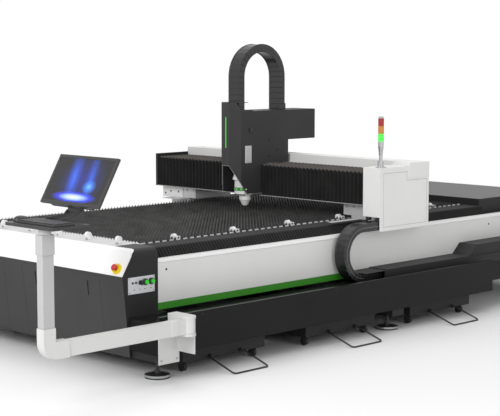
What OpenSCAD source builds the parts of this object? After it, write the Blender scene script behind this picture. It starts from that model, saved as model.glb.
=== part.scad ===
// Fiber laser cutting machine with an open slat bed, travelling gantry, swing console and scrap carts.
// Millimetres, +Z up. X runs along the bed from the operator end, the near side is -Y.

/* [Bed] */
// Length of the bed from the operator end to the rear end
bed_l = 4276; // [4200:1:4600]
// Width over the white side panels
bed_w = 2064; // [2020:1:2200]
// Height of the frame's underside above the floor
frame_z = 97; // [90:1:104]
// Height of the top edge of the side panels
panel_top_z = 633; // [620:1:640]
// Height of the white side panels
panel_h = 251; // [220:1:262]
// Height of the coloured stripe under the side panels
stripe_h = 40; // [20:1:60]
// Width of the long box beams that carry the ways
beam_w = 230; // [210:1:240]
// Sheet thickness of covers and panels
sheet_t = 4; // [2:0.5:5]
// Highest level of the fixed deck that the gantry passes over
deck_z = 702; // [698:1:706]

/* [Feet] */
// Distance of the first feet from the operator end
foot_first_x = 76; // [70:1:100]
// Distance between the rows of feet
foot_pitch = 1988; // [1960:1:2000]
// Distance of the near feet outside the near side panel
foot_out = 146; // [130:1:160]
// Diameter of a foot pad
foot_pad_d = 141; // [100:1:150]
// Height of a foot pad
foot_pad_h = 28; // [20:1:36]
// Diameter of a foot stem
foot_stem_d = 20; // [14:1:30]

/* [Operator end] */
// Reach of the nose beyond the end of the bed
nose_out = 51; // [40:1:60]
// Height of the nose edge
nose_z = 560; // [545:1:575]
// Run of the white fascia from the nose to its top edge
fascia_run = 76; // [70:1:86]
// Length of the corner covers along the side
corner_l = 214; // [205:1:225]
// Radius of the rounded top edge of the corner covers
corner_r = 45; // [20:1:50]
// Width of a corner cover across the end
corner_w = 196; // [180:1:205]
// Width of a service panel
service_w = 730; // [650:1:740]

/* [Slat bed] */
// Start of the slat field from the operator end
slat_x0 = 295; // [290:1:310]
// Length of the slat field
slat_field_l = 3091; // [3050:1:3091]
// Length of one slat
slat_l = 1556; // [1500:1:1570]
// Height of a slat
slat_h = 120; // [100:1:130]
// Thickness of a slat
slat_t = 4; // [2:0.5:6]
// Distance between slats
slat_pitch = 55; // [52:1:60]
// Teeth along one slat
tooth_n = 10; // [8:1:12]
// Height of a tooth
tooth_h = 20; // [14:1:26]

/* [Rollers] */
// Diameter of a loading roller
roller_d = 42; // [36:1:46]
// Width of a loading roller
roller_w = 20; // [16:1:24]
// Diameter of a roller pin
roller_pin_d = 8; // [6:1:10]
// Distance between the rollers of the end row
end_roller_pitch = 282; // [260:1:286]

/* [Rear platform] */
// Start of the rear platform from the operator end
platform_x = 3390; // [3390:1:3420]
// Width of the rear platform
platform_w = 1870; // [1800:1:1900]
// Height of the rear platform
platform_z = 735; // [725:1:745]

/* [Cable way] */
// Width of the side trough
trough_w = 254; // [245:1:270]
// Length of the side trough
trough_l = 3078; // [3050:1:3100]
// Height of the trough's underside
trough_z0 = 144; // [142:1:150]
// Height of the trough floor
trough_floor_z = 322; // [318:1:328]
// Height of the trough's front lip
trough_lip_z = 358; // [350:1:364]
// Start of the covered channel
channel_x = 2028; // [2010:1:2060]
// Width of the covered channel
channel_w = 156; // [150:1:165]
// Height of the covered channel
channel_h = 62; // [60:1:68]
// Start of the raised cable cover
cover_x = 2942; // [2900:1:2990]
// Height of the raised cable cover
cover_h = 77; // [60:1:90]
// Run of the raised cover's sloped end
cover_run = 87; // [60:1:110]
// Width of the side drag chain
side_chain_w = 104; // [90:1:106]
// Thickness of the side drag chain
side_chain_t = 54; // [46:1:55]
// Outer radius of the side drag chain's bend
side_chain_r = 189; // [180:1:192]
// Length of one chain link
link_pitch = 60; // [50:1:70]

/* [Scrap carts] */
// Distance from the operator end to the middle of the first cart
cart_first_x = 560; // [540:1:580]
// Distance between the carts
cart_pitch = 1010; // [1005:1:1015]
// Width of a cart
cart_w = 650; // [600:1:660]
// Length of a cart
cart_l = 1700; // [1500:1:1750]
// Height of a cart's tub
cart_h = 74; // [60:1:76]
// Height of a tub above the floor
cart_z = 62; // [58:1:64]
// Diameter of a castor wheel
castor_d = 50; // [44:1:52]
// Width of a castor wheel
castor_w = 22; // [18:1:26]
// Width of a bail handle
bail_w = 274; // [250:1:300]
// Length of a bail handle
bail_l = 218; // [200:1:230]
// Diameter of a bail's rod
bail_d = 10; // [8:1:12]

/* [Gantry] */
// Distance from the operator end to the front of the end box
gantry_x = 2011; // [2000:1:2020]
// Length of the end box
endbox_l = 505; // [500:1:520]
// Width of the end box
endbox_w = 145; // [140:1:160]
// Height of the top of the end box
endbox_z = 1048; // [1040:1:1055]
// Height of the lower edge of the end box skirt
skirt_z = 636; // [634:1:645]
// Height of the lower edge of the end box front
endbox_front_z = 728; // [715:1:740]
// Inset of the beam's near end from the side panel
gantry_inset = 23; // [15:1:30]
// Overhang of the beam's far end past the side panel
gantry_over = 59; // [50:1:80]
// Height of the beam's underside
beam_z0 = 788; // [780:1:792]
// Height of the top of the beam's pleated cover
pleat_top_z = 1009; // [1000:1:1011]
// Height of the top of the beam's rear cover
beam_z1 = 1067; // [1060:1:1080]
// Distance from the end box front to the pleated cover
pleat_x = 65; // [55:1:75]
// Depth of the pleated cover
pleat_d = 311; // [300:1:320]
// Distance from the end box front to the saddles
saddle_x = 125; // [115:1:135]
// Length of a saddle
saddle_l = 364; // [350:1:370]
// Reach of the wiper plates ahead of the saddles
wiper_l = 389; // [300:1:395]
// Height of the way rails
rail_h = 15; // [12:1:18]

/* [Pleated covers] */
// Distance between the folds of the way covers
way_fold = 48; // [40:1:60]
// Distance between the folds of the beam cover
beam_fold = 36; // [30:1:48]
// Depth of a fold
fold_depth = 11; // [6:1:13]

/* [Head] */
// Place of the nozzle across the bed
nozzle_y = 53; // [52:1:70]
// Height of the nozzle tip
nozzle_z = 716; // [713:1:724]
// Width of the head covers
head_w = 212; // [205:1:225]
// Distance from the end box front to the front of the head
head_reach = 125; // [120:1:130]
// Depth of the front cover
head_cover_d = 118; // [114:1:122]
// Height of the lower edge of the head covers
head_z0 = 809; // [800:1:815]
// Height of the top of the front cover
head_z1 = 1444; // [1430:1:1460]
// Height of the top of the side box
headbox_z1 = 1384; // [1370:1:1400]
// Height of the step under the side box
headbox_step_z = 1172; // [1150:1:1190]
// Length of the side box
headbox_l = 636; // [600:1:660]
// Width of the cutting head's body
cutter_w = 88; // [80:1:90]

/* [Arch chain] */
// Distance between the legs of the arch chain
arch_span = 405; // [395:1:415]
// Width of the arch chain
arch_w = 107; // [90:1:112]
// Thickness of the arch chain
arch_t = 59; // [50:1:62]
// Height of the start of the arch
arch_z = 1619; // [1600:1:1640]

/* [Signal tower] */
// Diameter of the signal lamps
lamp_d = 37; // [30:1:44]
// Height of one signal lamp
lamp_h = 50; // [40:1:56]
// Height of the pole under the lamps
pole_h = 170; // [140:1:200]

/* [Console] */
// Length of the swing arm from its pivot to the post
arm_l = 941; // [900:1:980]
// Height of the swing arm's underside
arm_z = 285; // [280:1:300]
// Height of the swing arm's section
arm_h = 80; // [70:1:90]
// Width of the swing arm's section
arm_w = 50; // [44:1:54]
// Diameter of the arm's pivot pin
arm_pin_d = 24; // [20:1:30]
// Height of the post's top
post_top_z = 905; // [890:1:920]
// Diameter of the swivel pin on the post
swivel_pin_d = 30; // [24:1:36]
// Depth of the keyboard tray
tray_d = 238; // [230:1:250]
// Width of the keyboard tray
tray_w = 394; // [385:1:410]
// Width of the monitor
monitor_w = 474; // [460:1:490]
// Length of the monitor's slanted face
monitor_h = 276; // [260:1:290]
// Thickness of the monitor
monitor_t = 38; // [30:1:42]
// Lean of the monitor
monitor_lean = 30; // [26:1:34]

/* [Controls] */
// Width of the control plate
control_w = 193; // [185:1:198]
// Height of the control plate
control_h = 94; // [80:1:100]
// Diameter of a push button
button_d = 24; // [20:1:26]
// Travel of a push button
button_travel = 4; // [3:0.5:4.5]
// Diameter of the emergency stop's head
estop_d = 40; // [34:1:44]
// Travel of the emergency stop
estop_travel = 6; // [4:0.5:6.5]

/* [Hidden] */
$fn = 48;

// Clearances
run_gap = 0.05;
seat_gap = 0.3;
slide_gap = 2;

// Bed
side_y = bed_w / 2;
beam_out = side_y - sheet_t;
beam_in = beam_out - beam_w;
beam_top = panel_top_z - sheet_t;
panel_z0 = panel_top_z - panel_h;
stripe_z0 = panel_z0 - stripe_h;
frame_x = 40;
wall_t = 12;
housing_t = 12;
leg_gap = 2;
leg_l = 2 * (foot_first_x - sheet_t - housing_t - leg_gap);
lip_w = 32;
trough_y = -side_y - trough_w;
foot_xs = [for (i = [0 : 2]) foot_first_x + i * foot_pitch];
foot_near_y = -side_y - foot_out;
foot_far_y = beam_out - 100;
cross_n = 4;
cross_w = 80;
cross_z = stripe_z0 + 80;
cross_h = 90;

// Operator end profile
bevel_h = 20;
slope_top = [fascia_run - nose_out, deck_z - bevel_h];
nose = [-nose_out, nose_z];
slope = slope_top - nose;
slope_in = [slope.y, -slope.x] / norm(slope);
slope_angle = atan2(slope.y, slope.x);
fascia_end_x = slope_top.x + 36;
housing_y = side_y - corner_w;
border_z = deck_z - 12;
service_gap = 2 * (housing_y - service_w - 10);
latch_in = 118;
latch_h = 91;
latch_z = nose_z - 54;

// Slats
slat_tip = deck_z - 4;
slat_bot = slat_tip - slat_h;
slat_n = floor(slat_field_l / slat_pitch);
slat_len_x = slat_n * slat_pitch;
comb_y = slat_l / 2 - 20;
comb_t = 6;
comb_top = slat_tip - tooth_h - 12;
comb_foot = 18;

// Ways
rail_y = (beam_out + beam_in) / 2;
rail_w = 30;
lane_out = beam_out - 30;
lane_in = beam_in + 4;
pleat_z0 = beam_top + seat_gap;
pleat_z1 = deck_z - 15;

// Gantry
near_y = -side_y + gantry_inset;
far_y = side_y + gantry_over;
box_y = near_y - endbox_w;
saddle_x0 = gantry_x + saddle_x;
saddle_x1 = saddle_x0 + saddle_l;
saddle_in = lane_in - 69;
pleat_x0 = gantry_x + pleat_x;
core_x0 = pleat_x0 + 84;
cover_x0 = pleat_x0 + pleat_d;
gantry_x1 = gantry_x + endbox_l;
far_cover_t = 20;
end_plate_t = 6;
beam_rail = 20;
beam_rail_zs = [beam_z0 + 42, pleat_top_z - 64];

// Head
head_x = gantry_x - head_reach;
head_x1 = head_x + head_cover_d;
head_y0 = nozzle_y - 58;
head_y1 = head_y0 + head_w;
nozzle_x = head_x + 95;
pocket_d = 30;
carriage_x0 = pleat_x0 + 47;
fold_y = head_y0 + 0.57 * head_w;
facet_d = 15;
arch_x = head_x + 59;
arch_y = (head_y0 + head_y1) / 2;
arch_r = arch_span / 2;
chain_foot_z = head_z1 - 114;

// Side chain
chain_y = box_y + sheet_t + 4 + side_chain_w / 2;
chain_z0 = trough_floor_z + seat_gap;
chain_mid_r = side_chain_r - side_chain_t / 2;
chain_x = gantry_x - 145;
chain_end_x = gantry_x + 3 * link_pitch;
chain_top_z = chain_z0 + 2 * side_chain_r;

// Console
pivot_x = foot_first_x;
pivot_y = trough_y - 143;
post_x = pivot_x - arm_l;
post_w = 66;
elbow_l = 160;
sleeve_h = 100;
collar_d = 64;
collar_h = 30;
tray_z = post_top_z + collar_h;
tray_t = 15;
tray_x0 = post_x - 50;
tray_y0 = pivot_y - 124;
monitor_y = tray_y0 + tray_w / 2 + 31;
monitor_x = tray_x0 + 277;
monitor_z = tray_z + 91;
tilt_x = tray_x0 + tray_d + 86;
tilt_z = tray_z + 50;
tilt_pin_r = 6;
bezel = 16;
screen_depth = 5;
rim_t = 14;
back_in = 70;

// Controls
control_x = -7;
control_z = nose_z - 12;
control_t = 3;
control_row_z = control_z - 32;
button_xs = [control_x + 121, control_x + 166];
selector_x = control_x + 84;
ring_h = 14;
estop_at = nose + 0.27 * slope;
estop_y = -side_y + 60;

// Carts
cart_xs = [for (i = [0 : 2]) cart_first_x + i * cart_pitch];
cart_y0 = -side_y - 183;
castor_z = castor_d / 2 + seat_gap;
bail_y = cart_y0 - 12;
bail_z = cart_z + 10;
bail_drop = asin((bail_z - bail_d / 2 - seat_gap) / bail_l);
bail_bend = 20;

// Box centre of the whole machine, which stands over the origin
mid_x = (tray_x0 + bed_l) / 2;
mid_y = (monitor_y - monitor_w / 2 + far_y + far_cover_t) / 2;

module place() translate([-mid_x, -mid_y, 0]) children();

module both_sides() {
    children();
    mirror([0, 1, 0]) children();
}

// Box between pairs of limits
module box(x, y, z) translate([x[0], y[0], z[0]]) cube([x[1] - x[0], y[1] - y[0], z[1] - z[0]]);

// Prism along Y from an outline in X and Z
module prism_y(y, outline) translate([0, y[1], 0]) rotate([90, 0, 0])
    linear_extrude(y[1] - y[0]) polygon(outline);

// Prism along X from an outline in Y and Z
module prism_x(x, outline) translate([x[0], 0, 0]) rotate([90, 0, 90])
    linear_extrude(x[1] - x[0]) polygon(outline);

// Prism along Z from an outline in X and Y
module prism_z(z, outline) translate([0, 0, z[0]]) linear_extrude(z[1] - z[0]) polygon(outline);

module rod_x(x, y, z, r) translate([x[0], y, z]) rotate([0, 90, 0]) cylinder(r = r, h = x[1] - x[0]);
module rod_y(x, y, z, r) translate([x, y[1], z]) rotate([90, 0, 0]) cylinder(r = r, h = y[1] - y[0]);
module rod_z(x, y, z, r) translate([x, y, z[0]]) cylinder(r = r, h = z[1] - z[0]);

// Curve of second degree from a to c, drawn towards b
function curve(a, b, c, n) = [for (i = [0 : n]) let (u = i / n)
    (1 - u) * (1 - u) * a + 2 * u * (1 - u) * b + u * u * c];

// Folded cover: rings of one outline in turn with rings of another
function ring_points(crest, valley, length, folds) = [for (i = [0 : 2 * folds])
    for (p = i % 2 == 0 ? valley : crest) [p.x, p.y, i * length / (2 * folds)]];
function ring_faces(n, rings) = concat(
    [[for (k = [0 : n - 1]) k]],
    [for (i = [0 : rings - 2]) for (k = [0 : n - 1])
        [i * n + k, (i + 1) * n + k, (i + 1) * n + (k + 1) % n, i * n + (k + 1) % n]],
    [[for (k = [n - 1 : -1 : 0]) (rings - 1) * n + k]]);
module pleats(crest, valley, length, fold) {
    folds = max(2, round(length / fold));
    polyhedron(ring_points(crest, valley, length, folds), ring_faces(len(crest), 2 * folds + 1));
}

// Bed frame
module foot_legs(x) {
    box([x - leg_l / 2, x + leg_l / 2], [trough_y + 16, beam_out], [frame_z, trough_z0]);
    both_sides() box([x - leg_l / 2, x + leg_l / 2], [-beam_out, -beam_in], [trough_z0 - 1, stripe_z0 + 1]);
}

module base_frame() color("#2b2b2b") place() difference() {
    union() {
        both_sides() box([frame_x, bed_l], [-beam_out, -beam_in], [stripe_z0, beam_top]);
        for (x = foot_xs) foot_legs(x);
        for (i = [0 : cross_n]) {
            x = slat_x0 + i * (slat_field_l - cross_w) / cross_n;
            box([x, x + cross_w], [-beam_in - 1, beam_in + 1], [cross_z, cross_z + cross_h]);
        }
        box([frame_x, frame_x + wall_t], [-beam_out, beam_out], [trough_z0 - 1, beam_top]);
        box([bed_l - wall_t, bed_l], [-beam_out, beam_out], [frame_z, beam_top]);
        box([corner_l, bed_l], [beam_out - sheet_t, beam_out], [trough_z0 - 1, stripe_z0 + 1]);
        box([trough_l, bed_l], [-beam_out, -beam_out + sheet_t], [trough_z0 - 1, stripe_z0 + 1]);
    }
    for (s = [-1, 1]) service_window(s, 60, [frame_x - 1, frame_x + wall_t + 1]);
}

module service_window(side, margin, x) {
    y = side * (service_gap + service_w) / 2;
    w = service_w / 2 - margin;
    box(x, [y - w, y + w], [frame_z + margin + 60, nose_z - margin]);
}

module foot(x, y) translate([x, y, 0]) {
    cylinder(d = foot_pad_d, h = foot_pad_h * 0.6);
    translate([0, 0, foot_pad_h * 0.6])
        cylinder(d1 = foot_pad_d, d2 = foot_pad_d * 0.5, h = foot_pad_h * 0.4);
    cylinder(d = foot_stem_d, h = frame_z);
    translate([0, 0, foot_pad_h]) cylinder(d = foot_stem_d * 1.7, h = 14, $fn = 6);
}

module levelling_feet() color("#3a3a3a") place() for (x = foot_xs, y = [foot_near_y, foot_far_y]) foot(x, y);

module side_panels() color("#e4e4e2") place() both_sides() {
    box([corner_l, bed_l], [-side_y, -beam_out], [panel_z0, panel_top_z]);
    box([corner_l, bed_l], [-side_y, -side_y + lip_w], [beam_top, panel_top_z]);
}

module side_stripes() color("#2f7a14") place()
    both_sides() box([corner_l, bed_l], [-side_y, -beam_out], [stripe_z0, panel_z0]);

// Operator end
function inset(p, t) = p + t * slope_in;
function door_x(z, t) = t + (inset(nose, t).x - t) * (z - frame_z) / (inset(nose, t).y - frame_z);
function end_outline(t, roof) = let (z = frame_z - (t > sheet_t ? 1 : 0)) concat(
    [[t, z], inset(nose, t), inset(slope_top, t)], roof, [[roof[len(roof) - 1].x, z]]);

// Waste of the rounded edge along X at the near side
module edge_waste(x, r, y, z) difference() {
    box(x, [y - 1, y + r], [z - r, z + 1]);
    rod_x([x[0] - 1, x[1] + 1], y + r, z - r, r);
}

module corner_block(t) {
    d = t - sheet_t;
    over = d > 0 ? 1 : 0;
    step_x = fascia_end_x + d;
    difference() {
        prism_y([-side_y + d, -housing_y + over], end_outline(t,
            [[step_x, deck_z - t], [step_x, deck_z - d], [corner_l + over, deck_z - d]]));
        edge_waste([-2 * nose_out, 2 * corner_l], corner_r - d, -side_y + d, deck_z - d);
    }
}

module corner_covers() color("#2e2e2e") place() difference() {
    both_sides() difference() {
        corner_block(sheet_t);
        corner_block(2 * sheet_t);
    }
    // Notch for the first foot beam
    notch = leg_l / 2 + seat_gap;
    box([foot_first_x - notch, foot_first_x + notch], [-side_y - 1, -beam_out + 1],
        [frame_z - 1, trough_z0 + seat_gap]);
}

module end_housing() color("#434343") place() difference() {
    prism_y([-housing_y, housing_y], end_outline(sheet_t, [[fascia_end_x, deck_z - sheet_t]]));
    prism_y([-housing_y - 1, housing_y + 1],
        end_outline(sheet_t + housing_t, [[fascia_end_x + 1, deck_z - sheet_t - housing_t]]));
    for (s = [-1, 1]) {
        service_panel(s, seat_gap);
        service_window(s, 30, [-nose_out - 1, frame_x]);
    }
}

module end_fascia() color("#f2f2f2") place() difference() {
    prism_y([-side_y, side_y], concat([nose],
        curve(slope_top, slope_top + slope * bevel_h / slope.y, [fascia_end_x, deck_z], 6),
        [[fascia_end_x, deck_z - sheet_t], inset(slope_top, sheet_t), inset(nose, sheet_t)]));
    both_sides() edge_waste([-nose_out - 1, fascia_end_x + 1], corner_r, -side_y, deck_z);
}

// Service panel in the sloped front, grown by a gap for its recess
module service_panel(side, gap) {
    y = side * (service_gap + service_w) / 2;
    z = [frame_z + 12 - gap, nose_z - 16 + gap];
    prism_y([y - service_w / 2 - gap, y + service_w / 2 + gap], [
        [door_x(z[0], sheet_t) - gap, z[0]], [door_x(z[1], sheet_t) - gap, z[1]],
        [door_x(z[1], sheet_t) + sheet_t, z[1]], [door_x(z[0], sheet_t) + sheet_t, z[0]]]);
}

module service_panels() color("#484848") place() for (s = [-1, 1]) service_panel(s, 0);

module panel_latches() color("#151515") place() for (s = [-1, 1], e = [-1, 1]) {
    y = s * (service_gap + service_w) / 2 + e * (service_w / 2 - latch_in);
    z = [latch_z - latch_h, latch_z];
    prism_y([y - 9, y + 9], [
        [door_x(z[0], sheet_t), z[0]], [door_x(z[1], sheet_t), z[1]],
        [door_x(z[1], sheet_t) - 5, z[1] - 8], [door_x(z[0], sheet_t) - 5, z[0] + 8]]);
}

// Controls on the near corner
module control_plate() color("#c9cbce") place() {
    face_y = -side_y - control_t;
    difference() {
        box([control_x, control_x + control_w], [face_y, -side_y], [control_z - control_h, control_z]);
        for (x = [31, 55]) rod_y(control_x + x, [face_y - 1, face_y + 2], control_row_z, 5);
    }
    for (x = button_xs) difference() {
        rod_y(x, [face_y - ring_h, face_y + 1], control_row_z, button_d / 2 + 4);
        rod_y(x, [face_y - ring_h - 1, face_y], control_row_z, button_d / 2 + seat_gap);
    }
    rod_y(selector_x, [face_y - 3, face_y + 1], control_row_z, 15);
    rod_y(selector_x, [face_y - 8, face_y], control_row_z, 4);
}

module push_button(x) {
    back = -side_y - control_t - button_travel - 1;
    rod_y(x, [back - ring_h - 4, back], control_row_z, button_d / 2);
}

module start_button() color("#18c018") place() push_button(button_xs[0]);
module stop_button() color("#18c018") place() push_button(button_xs[1]);

module selector_knob() color("#101010") place() {
    y = -side_y - control_t - 3 - seat_gap;
    difference() {
        union() {
            rod_y(selector_x, [y - 12, y], control_row_z, 13);
            box([selector_x - 4, selector_x + 4], [y - 20, y - 11],
                [control_row_z - 13, control_row_z + 13]);
        }
        rod_y(selector_x, [y - 8, y + 1], control_row_z, 4 + run_gap);
    }
}

// Frame on the sloped fascia, z along its outward normal
module on_fascia() translate([estop_at.x, estop_y, estop_at.y]) rotate([0, -slope_angle, 0]) children();

module estop_collar() color("#e0c318") place() on_fascia() difference() {
    cylinder(d = estop_d * 1.5, h = 14);
    translate([0, 0, -1]) cylinder(d = estop_d * 0.55 + 2 * seat_gap, h = 16);
}

module estop_button() color("#b5161c") place() on_fascia() {
    translate([0, 0, estop_travel + 0.5]) cylinder(d = estop_d * 0.55, h = 20);
    translate([0, 0, 15 + estop_travel]) rotate_extrude() polygon(concat(
        [[0, 0], [estop_d * 0.36, 0]],
        curve([estop_d / 2, 8], [estop_d / 2, 20], [0, 20], 8)));
}

// Cable way
module cable_trough() color("#262626") place() prism_x([0, trough_l], [
    [trough_y, trough_z0], [-side_y, trough_z0], [-side_y, trough_floor_z],
    [trough_y + sheet_t, trough_floor_z], [trough_y + sheet_t, trough_lip_z - sheet_t],
    [trough_y + 22, trough_lip_z - sheet_t], [trough_y + 22, trough_lip_z], [trough_y, trough_lip_z]]);

module channel_cover() color("#303030") place() {
    y0 = -side_y - channel_w;
    top = trough_floor_z + channel_h;
    lip_y = chain_y - side_chain_w / 2 - slide_gap;
    prism_x([channel_x, trough_l], [
        [y0, trough_floor_z], [y0 + sheet_t, trough_floor_z], [y0 + sheet_t, top - sheet_t],
        [lip_y, top - sheet_t], [lip_y, top], [y0, top]]);
    box([trough_l, bed_l], [y0, -side_y], [trough_floor_z, top]);
}

module rear_cable_cover() color("#2b2b2b") place() {
    z = trough_floor_z + channel_h;
    prism_y([-side_y - channel_w + 8, -side_y], [
        [cover_x, z], [cover_x + cover_run, z + cover_h], [bed_l, z + cover_h], [bed_l, z]]);
}

// Chain link bands over a core, along X from x0 to x1
module chain_run(x0, x1, y, z, w, t) {
    box([x0, x1], [y - w / 2 + 5, y + w / 2 - 5], [z + 5, z + t - 5]);
    for (x = [x0 : link_pitch : x1 - link_pitch + 1])
        box([x + 3, x + link_pitch - 3], [y - w / 2, y + w / 2], [z, z + t]);
}

// Half turn of a chain about Y, from straight down through -X to straight up
module chain_bend(r, w, t) {
    links = round(PI * r / link_pitch);
    turn = 180 / links;
    half = (r - t / 2) * tan(turn / 2) - 2;
    prism_y([-w / 2 + 5, w / 2 - 5], concat(
        [for (i = [0 : links]) (r + t / 2 - 5) * [-sin(i * turn), -cos(i * turn)]],
        [for (i = [links : -1 : 0]) (r - t / 2 + 5) * [-sin(i * turn), -cos(i * turn)]]));
    for (i = [0 : links - 1]) rotate([0, (i + 0.5) * turn, 0])
        translate([-half, -w / 2, -r - t / 2 + 1]) cube([2 * half, w, t - 2]);
}

module side_chain() color("#1d1d1d") place() {
    chain_run(chain_x, cover_x - 42, chain_y, chain_z0, side_chain_w, side_chain_t);
    chain_run(chain_x, chain_end_x, chain_y, chain_top_z - side_chain_t, side_chain_w, side_chain_t);
    translate([chain_x, chain_y, chain_z0 + side_chain_r])
        chain_bend(chain_mid_r, side_chain_w, side_chain_t);
}

// Slat bed
function slat_x(i) = slat_x0 + (i + 0.5) * slat_pitch;

module slats() color("#4a4a4a") place() for (i = [0 : slat_n - 1])
    prism_x([slat_x(i) - slat_t / 2, slat_x(i) + slat_t / 2], concat(
        [[slat_l / 2, slat_bot], [-slat_l / 2, slat_bot]],
        [for (k = [0 : 2 * tooth_n])
            [-slat_l / 2 + k * slat_l / (2 * tooth_n), slat_tip - (k % 2 == 0 ? tooth_h : 0)]]));

module comb_rails() color("#dcdcdc") place() both_sides() {
    half = slat_t / 2 + 0.5;
    x = [slat_x0, slat_x0 + slat_len_x];
    prism_y([-comb_y, -comb_y + comb_t], concat(
        [[x[1], slat_bot - comb_foot], [x[0], slat_bot - comb_foot], [x[0], comb_top]],
        [for (i = [0 : slat_n - 1]) each [[slat_x(i) - half, comb_top], [slat_x(i) - half, slat_bot],
            [slat_x(i) + half, slat_bot], [slat_x(i) + half, comb_top]]],
        [[x[1], comb_top]]));
    box(x, [-beam_in, -comb_y + comb_t], [slat_bot - comb_foot - 6, slat_bot - comb_foot]);
}

module bed_border() color("#b8b8b8") place() {
    x1 = slat_x0 - slide_gap;
    top = [border_z - sheet_t, border_z];
    box([fascia_end_x, corner_l], [-housing_y, housing_y], top);
    box([corner_l - 1, x1], [-beam_in, beam_in], top);
    box([x1 - sheet_t, x1], [-beam_in, beam_in], [slat_bot, border_z]);
}

module way_rails() color("#9a9da0") place() both_sides()
    box([corner_l, platform_x - 10], [-rail_y - rail_w / 2, -rail_y + rail_w / 2],
        [beam_top, beam_top + rail_h]);

module rear_platform() color("#878787") place() {
    y = platform_w / 2;
    difference() {
        box([platform_x, bed_l], [-y, y], [beam_top, platform_z]);
        box([platform_x + sheet_t, bed_l - sheet_t], [-y + sheet_t, y - sheet_t],
            [beam_top - 1, platform_z - sheet_t]);
    }
}

// Loading rollers
end_roller_x = slat_x0 - 95;
end_roller_z = border_z + 24;
end_roller_ys = [for (i = [-2.5 : 2.5]) i * end_roller_pitch];
near_roller_y = -comb_y + comb_t + 44;
near_roller_z = slat_tip - 8;
cheek_t = 4;
near_roller_xs = [for (i = [6 : 9 : slat_n - 1]) slat_x0 + i * slat_pitch];

module roller_row_end() for (y = end_roller_ys) difference() {
    rod_y(end_roller_x, [y - roller_w / 2, y + roller_w / 2], end_roller_z, roller_d / 2);
    rod_y(end_roller_x, [y - roller_w, y + roller_w], end_roller_z, roller_pin_d / 2 + run_gap);
}

module end_rollers() color("#f0f0f0") place() roller_row_end();

module near_rollers() color("#f0f0f0") place() for (x = near_roller_xs) difference() {
    rod_x([x - roller_w / 2, x + roller_w / 2], near_roller_y, near_roller_z, roller_d / 2);
    rod_x([x - roller_w, x + roller_w], near_roller_y, near_roller_z, roller_pin_d / 2 + run_gap);
}

module end_bracket(y) {
    cheek = roller_w / 2 + seat_gap + cheek_t / 2;
    for (s = [-1, 1]) box([end_roller_x - 12, end_roller_x + 12],
        [y + s * cheek - cheek_t / 2, y + s * cheek + cheek_t / 2], [border_z, end_roller_z + 10]);
    rod_y(end_roller_x, [y - cheek - 1, y + cheek + 1], end_roller_z, roller_pin_d / 2);
}

module near_bracket(x) {
    cheek = roller_w / 2 + seat_gap + cheek_t / 2;
    for (s = [-1, 1]) box([x + s * cheek - cheek_t / 2, x + s * cheek + cheek_t / 2],
        [-comb_y + comb_t, near_roller_y + 10], [near_roller_z - 34, near_roller_z + 9]);
    rod_x([x - cheek - 1, x + cheek + 1], near_roller_y, near_roller_z, roller_pin_d / 2);
}

module roller_brackets() color("#d8d8d8") place() {
    for (y = end_roller_ys) end_bracket(y);
    for (x = near_roller_xs) near_bracket(x);
}

// Pleated way covers, an angle of side and top on each way
module way_pleat(x) {
    z0 = pleat_z0;
    z1 = pleat_z1;
    crest = [[-z0, -lane_out], [-z1, -lane_out], [-z1, -lane_in], [-z1 + 15, -lane_in],
        [-z1 + 15, -lane_out + 18], [-z0, -lane_out + 18]];
    valley = [for (p = crest) p.y == -lane_out ? [p.x, p.y + fold_depth] : p];
    translate([x[0], 0, 0]) rotate([0, 90, 0]) pleats(crest, valley, x[1] - x[0], way_fold);
}

module way_pleats_front() color("#1c1c1c") place() both_sides()
    way_pleat([corner_l + seat_gap, saddle_x0 - seat_gap]);
module way_pleats_rear() color("#1c1c1c") place() both_sides()
    way_pleat([saddle_x1 + seat_gap, platform_x - seat_gap]);

// Gantry
module gantry_beam() color("#e9e9e7") place() {
    box([core_x0, cover_x0 + 1], [near_y, far_y], [beam_z0 + 12, pleat_top_z - 19]);
    box([cover_x0, gantry_x1], [near_y, far_y], [beam_z0, beam_z1]);
    for (y = [near_y, far_y - end_plate_t])
        box([pleat_x0, gantry_x1], [y, y + end_plate_t], [beam_z0, pleat_top_z]);
}

module end_box() color("#f0f0ee") place() {
    inner = [gantry_x + sheet_t, gantry_x1 - sheet_t];
    block_l = 206;
    block_h = 79;
    difference() {
        box([gantry_x, gantry_x1], [box_y, near_y], [skirt_z, endbox_z]);
        box(inner, [box_y + sheet_t, near_y + 1], [skirt_z - 1, endbox_z - sheet_t]);
        box([gantry_x - 1, gantry_x1 + 1], [box_y + sheet_t, near_y + 1], [skirt_z - 1, endbox_front_z]);
    }
    // Shelf over the end of the side chain
    box([chain_end_x - link_pitch, chain_end_x], [box_y + 1, near_y],
        [chain_top_z + seat_gap, chain_top_z + seat_gap + 2 * sheet_t]);
    difference() {
        box([gantry_x1 - block_l, gantry_x1], [box_y - 2, near_y], [endbox_z - block_h, beam_z1]);
        box([gantry_x1 - block_l + sheet_t, gantry_x1 - sheet_t], [box_y + sheet_t, near_y + 1],
            [endbox_z - block_h - 1, beam_z1 - sheet_t]);
    }
}

module far_end_cover() color("#242424") place()
    box([pleat_x0, gantry_x1], [far_y, far_y + far_cover_t], [beam_z0, beam_z1 - 6]);

module saddles() color("#c0c0c0") place() both_sides() {
    z = [beam_top + rail_h + seat_gap, deck_z + 6, beam_z0];
    prism_x([saddle_x0, saddle_x1], [
        [near_y, z[2]], [-saddle_in, z[2]], [-saddle_in, z[1]], [-lane_in, z[1]], [-lane_in, z[0]],
        [-lane_out, z[0]], [-lane_out, z[1]], [near_y, z[1]]]);
}

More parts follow.
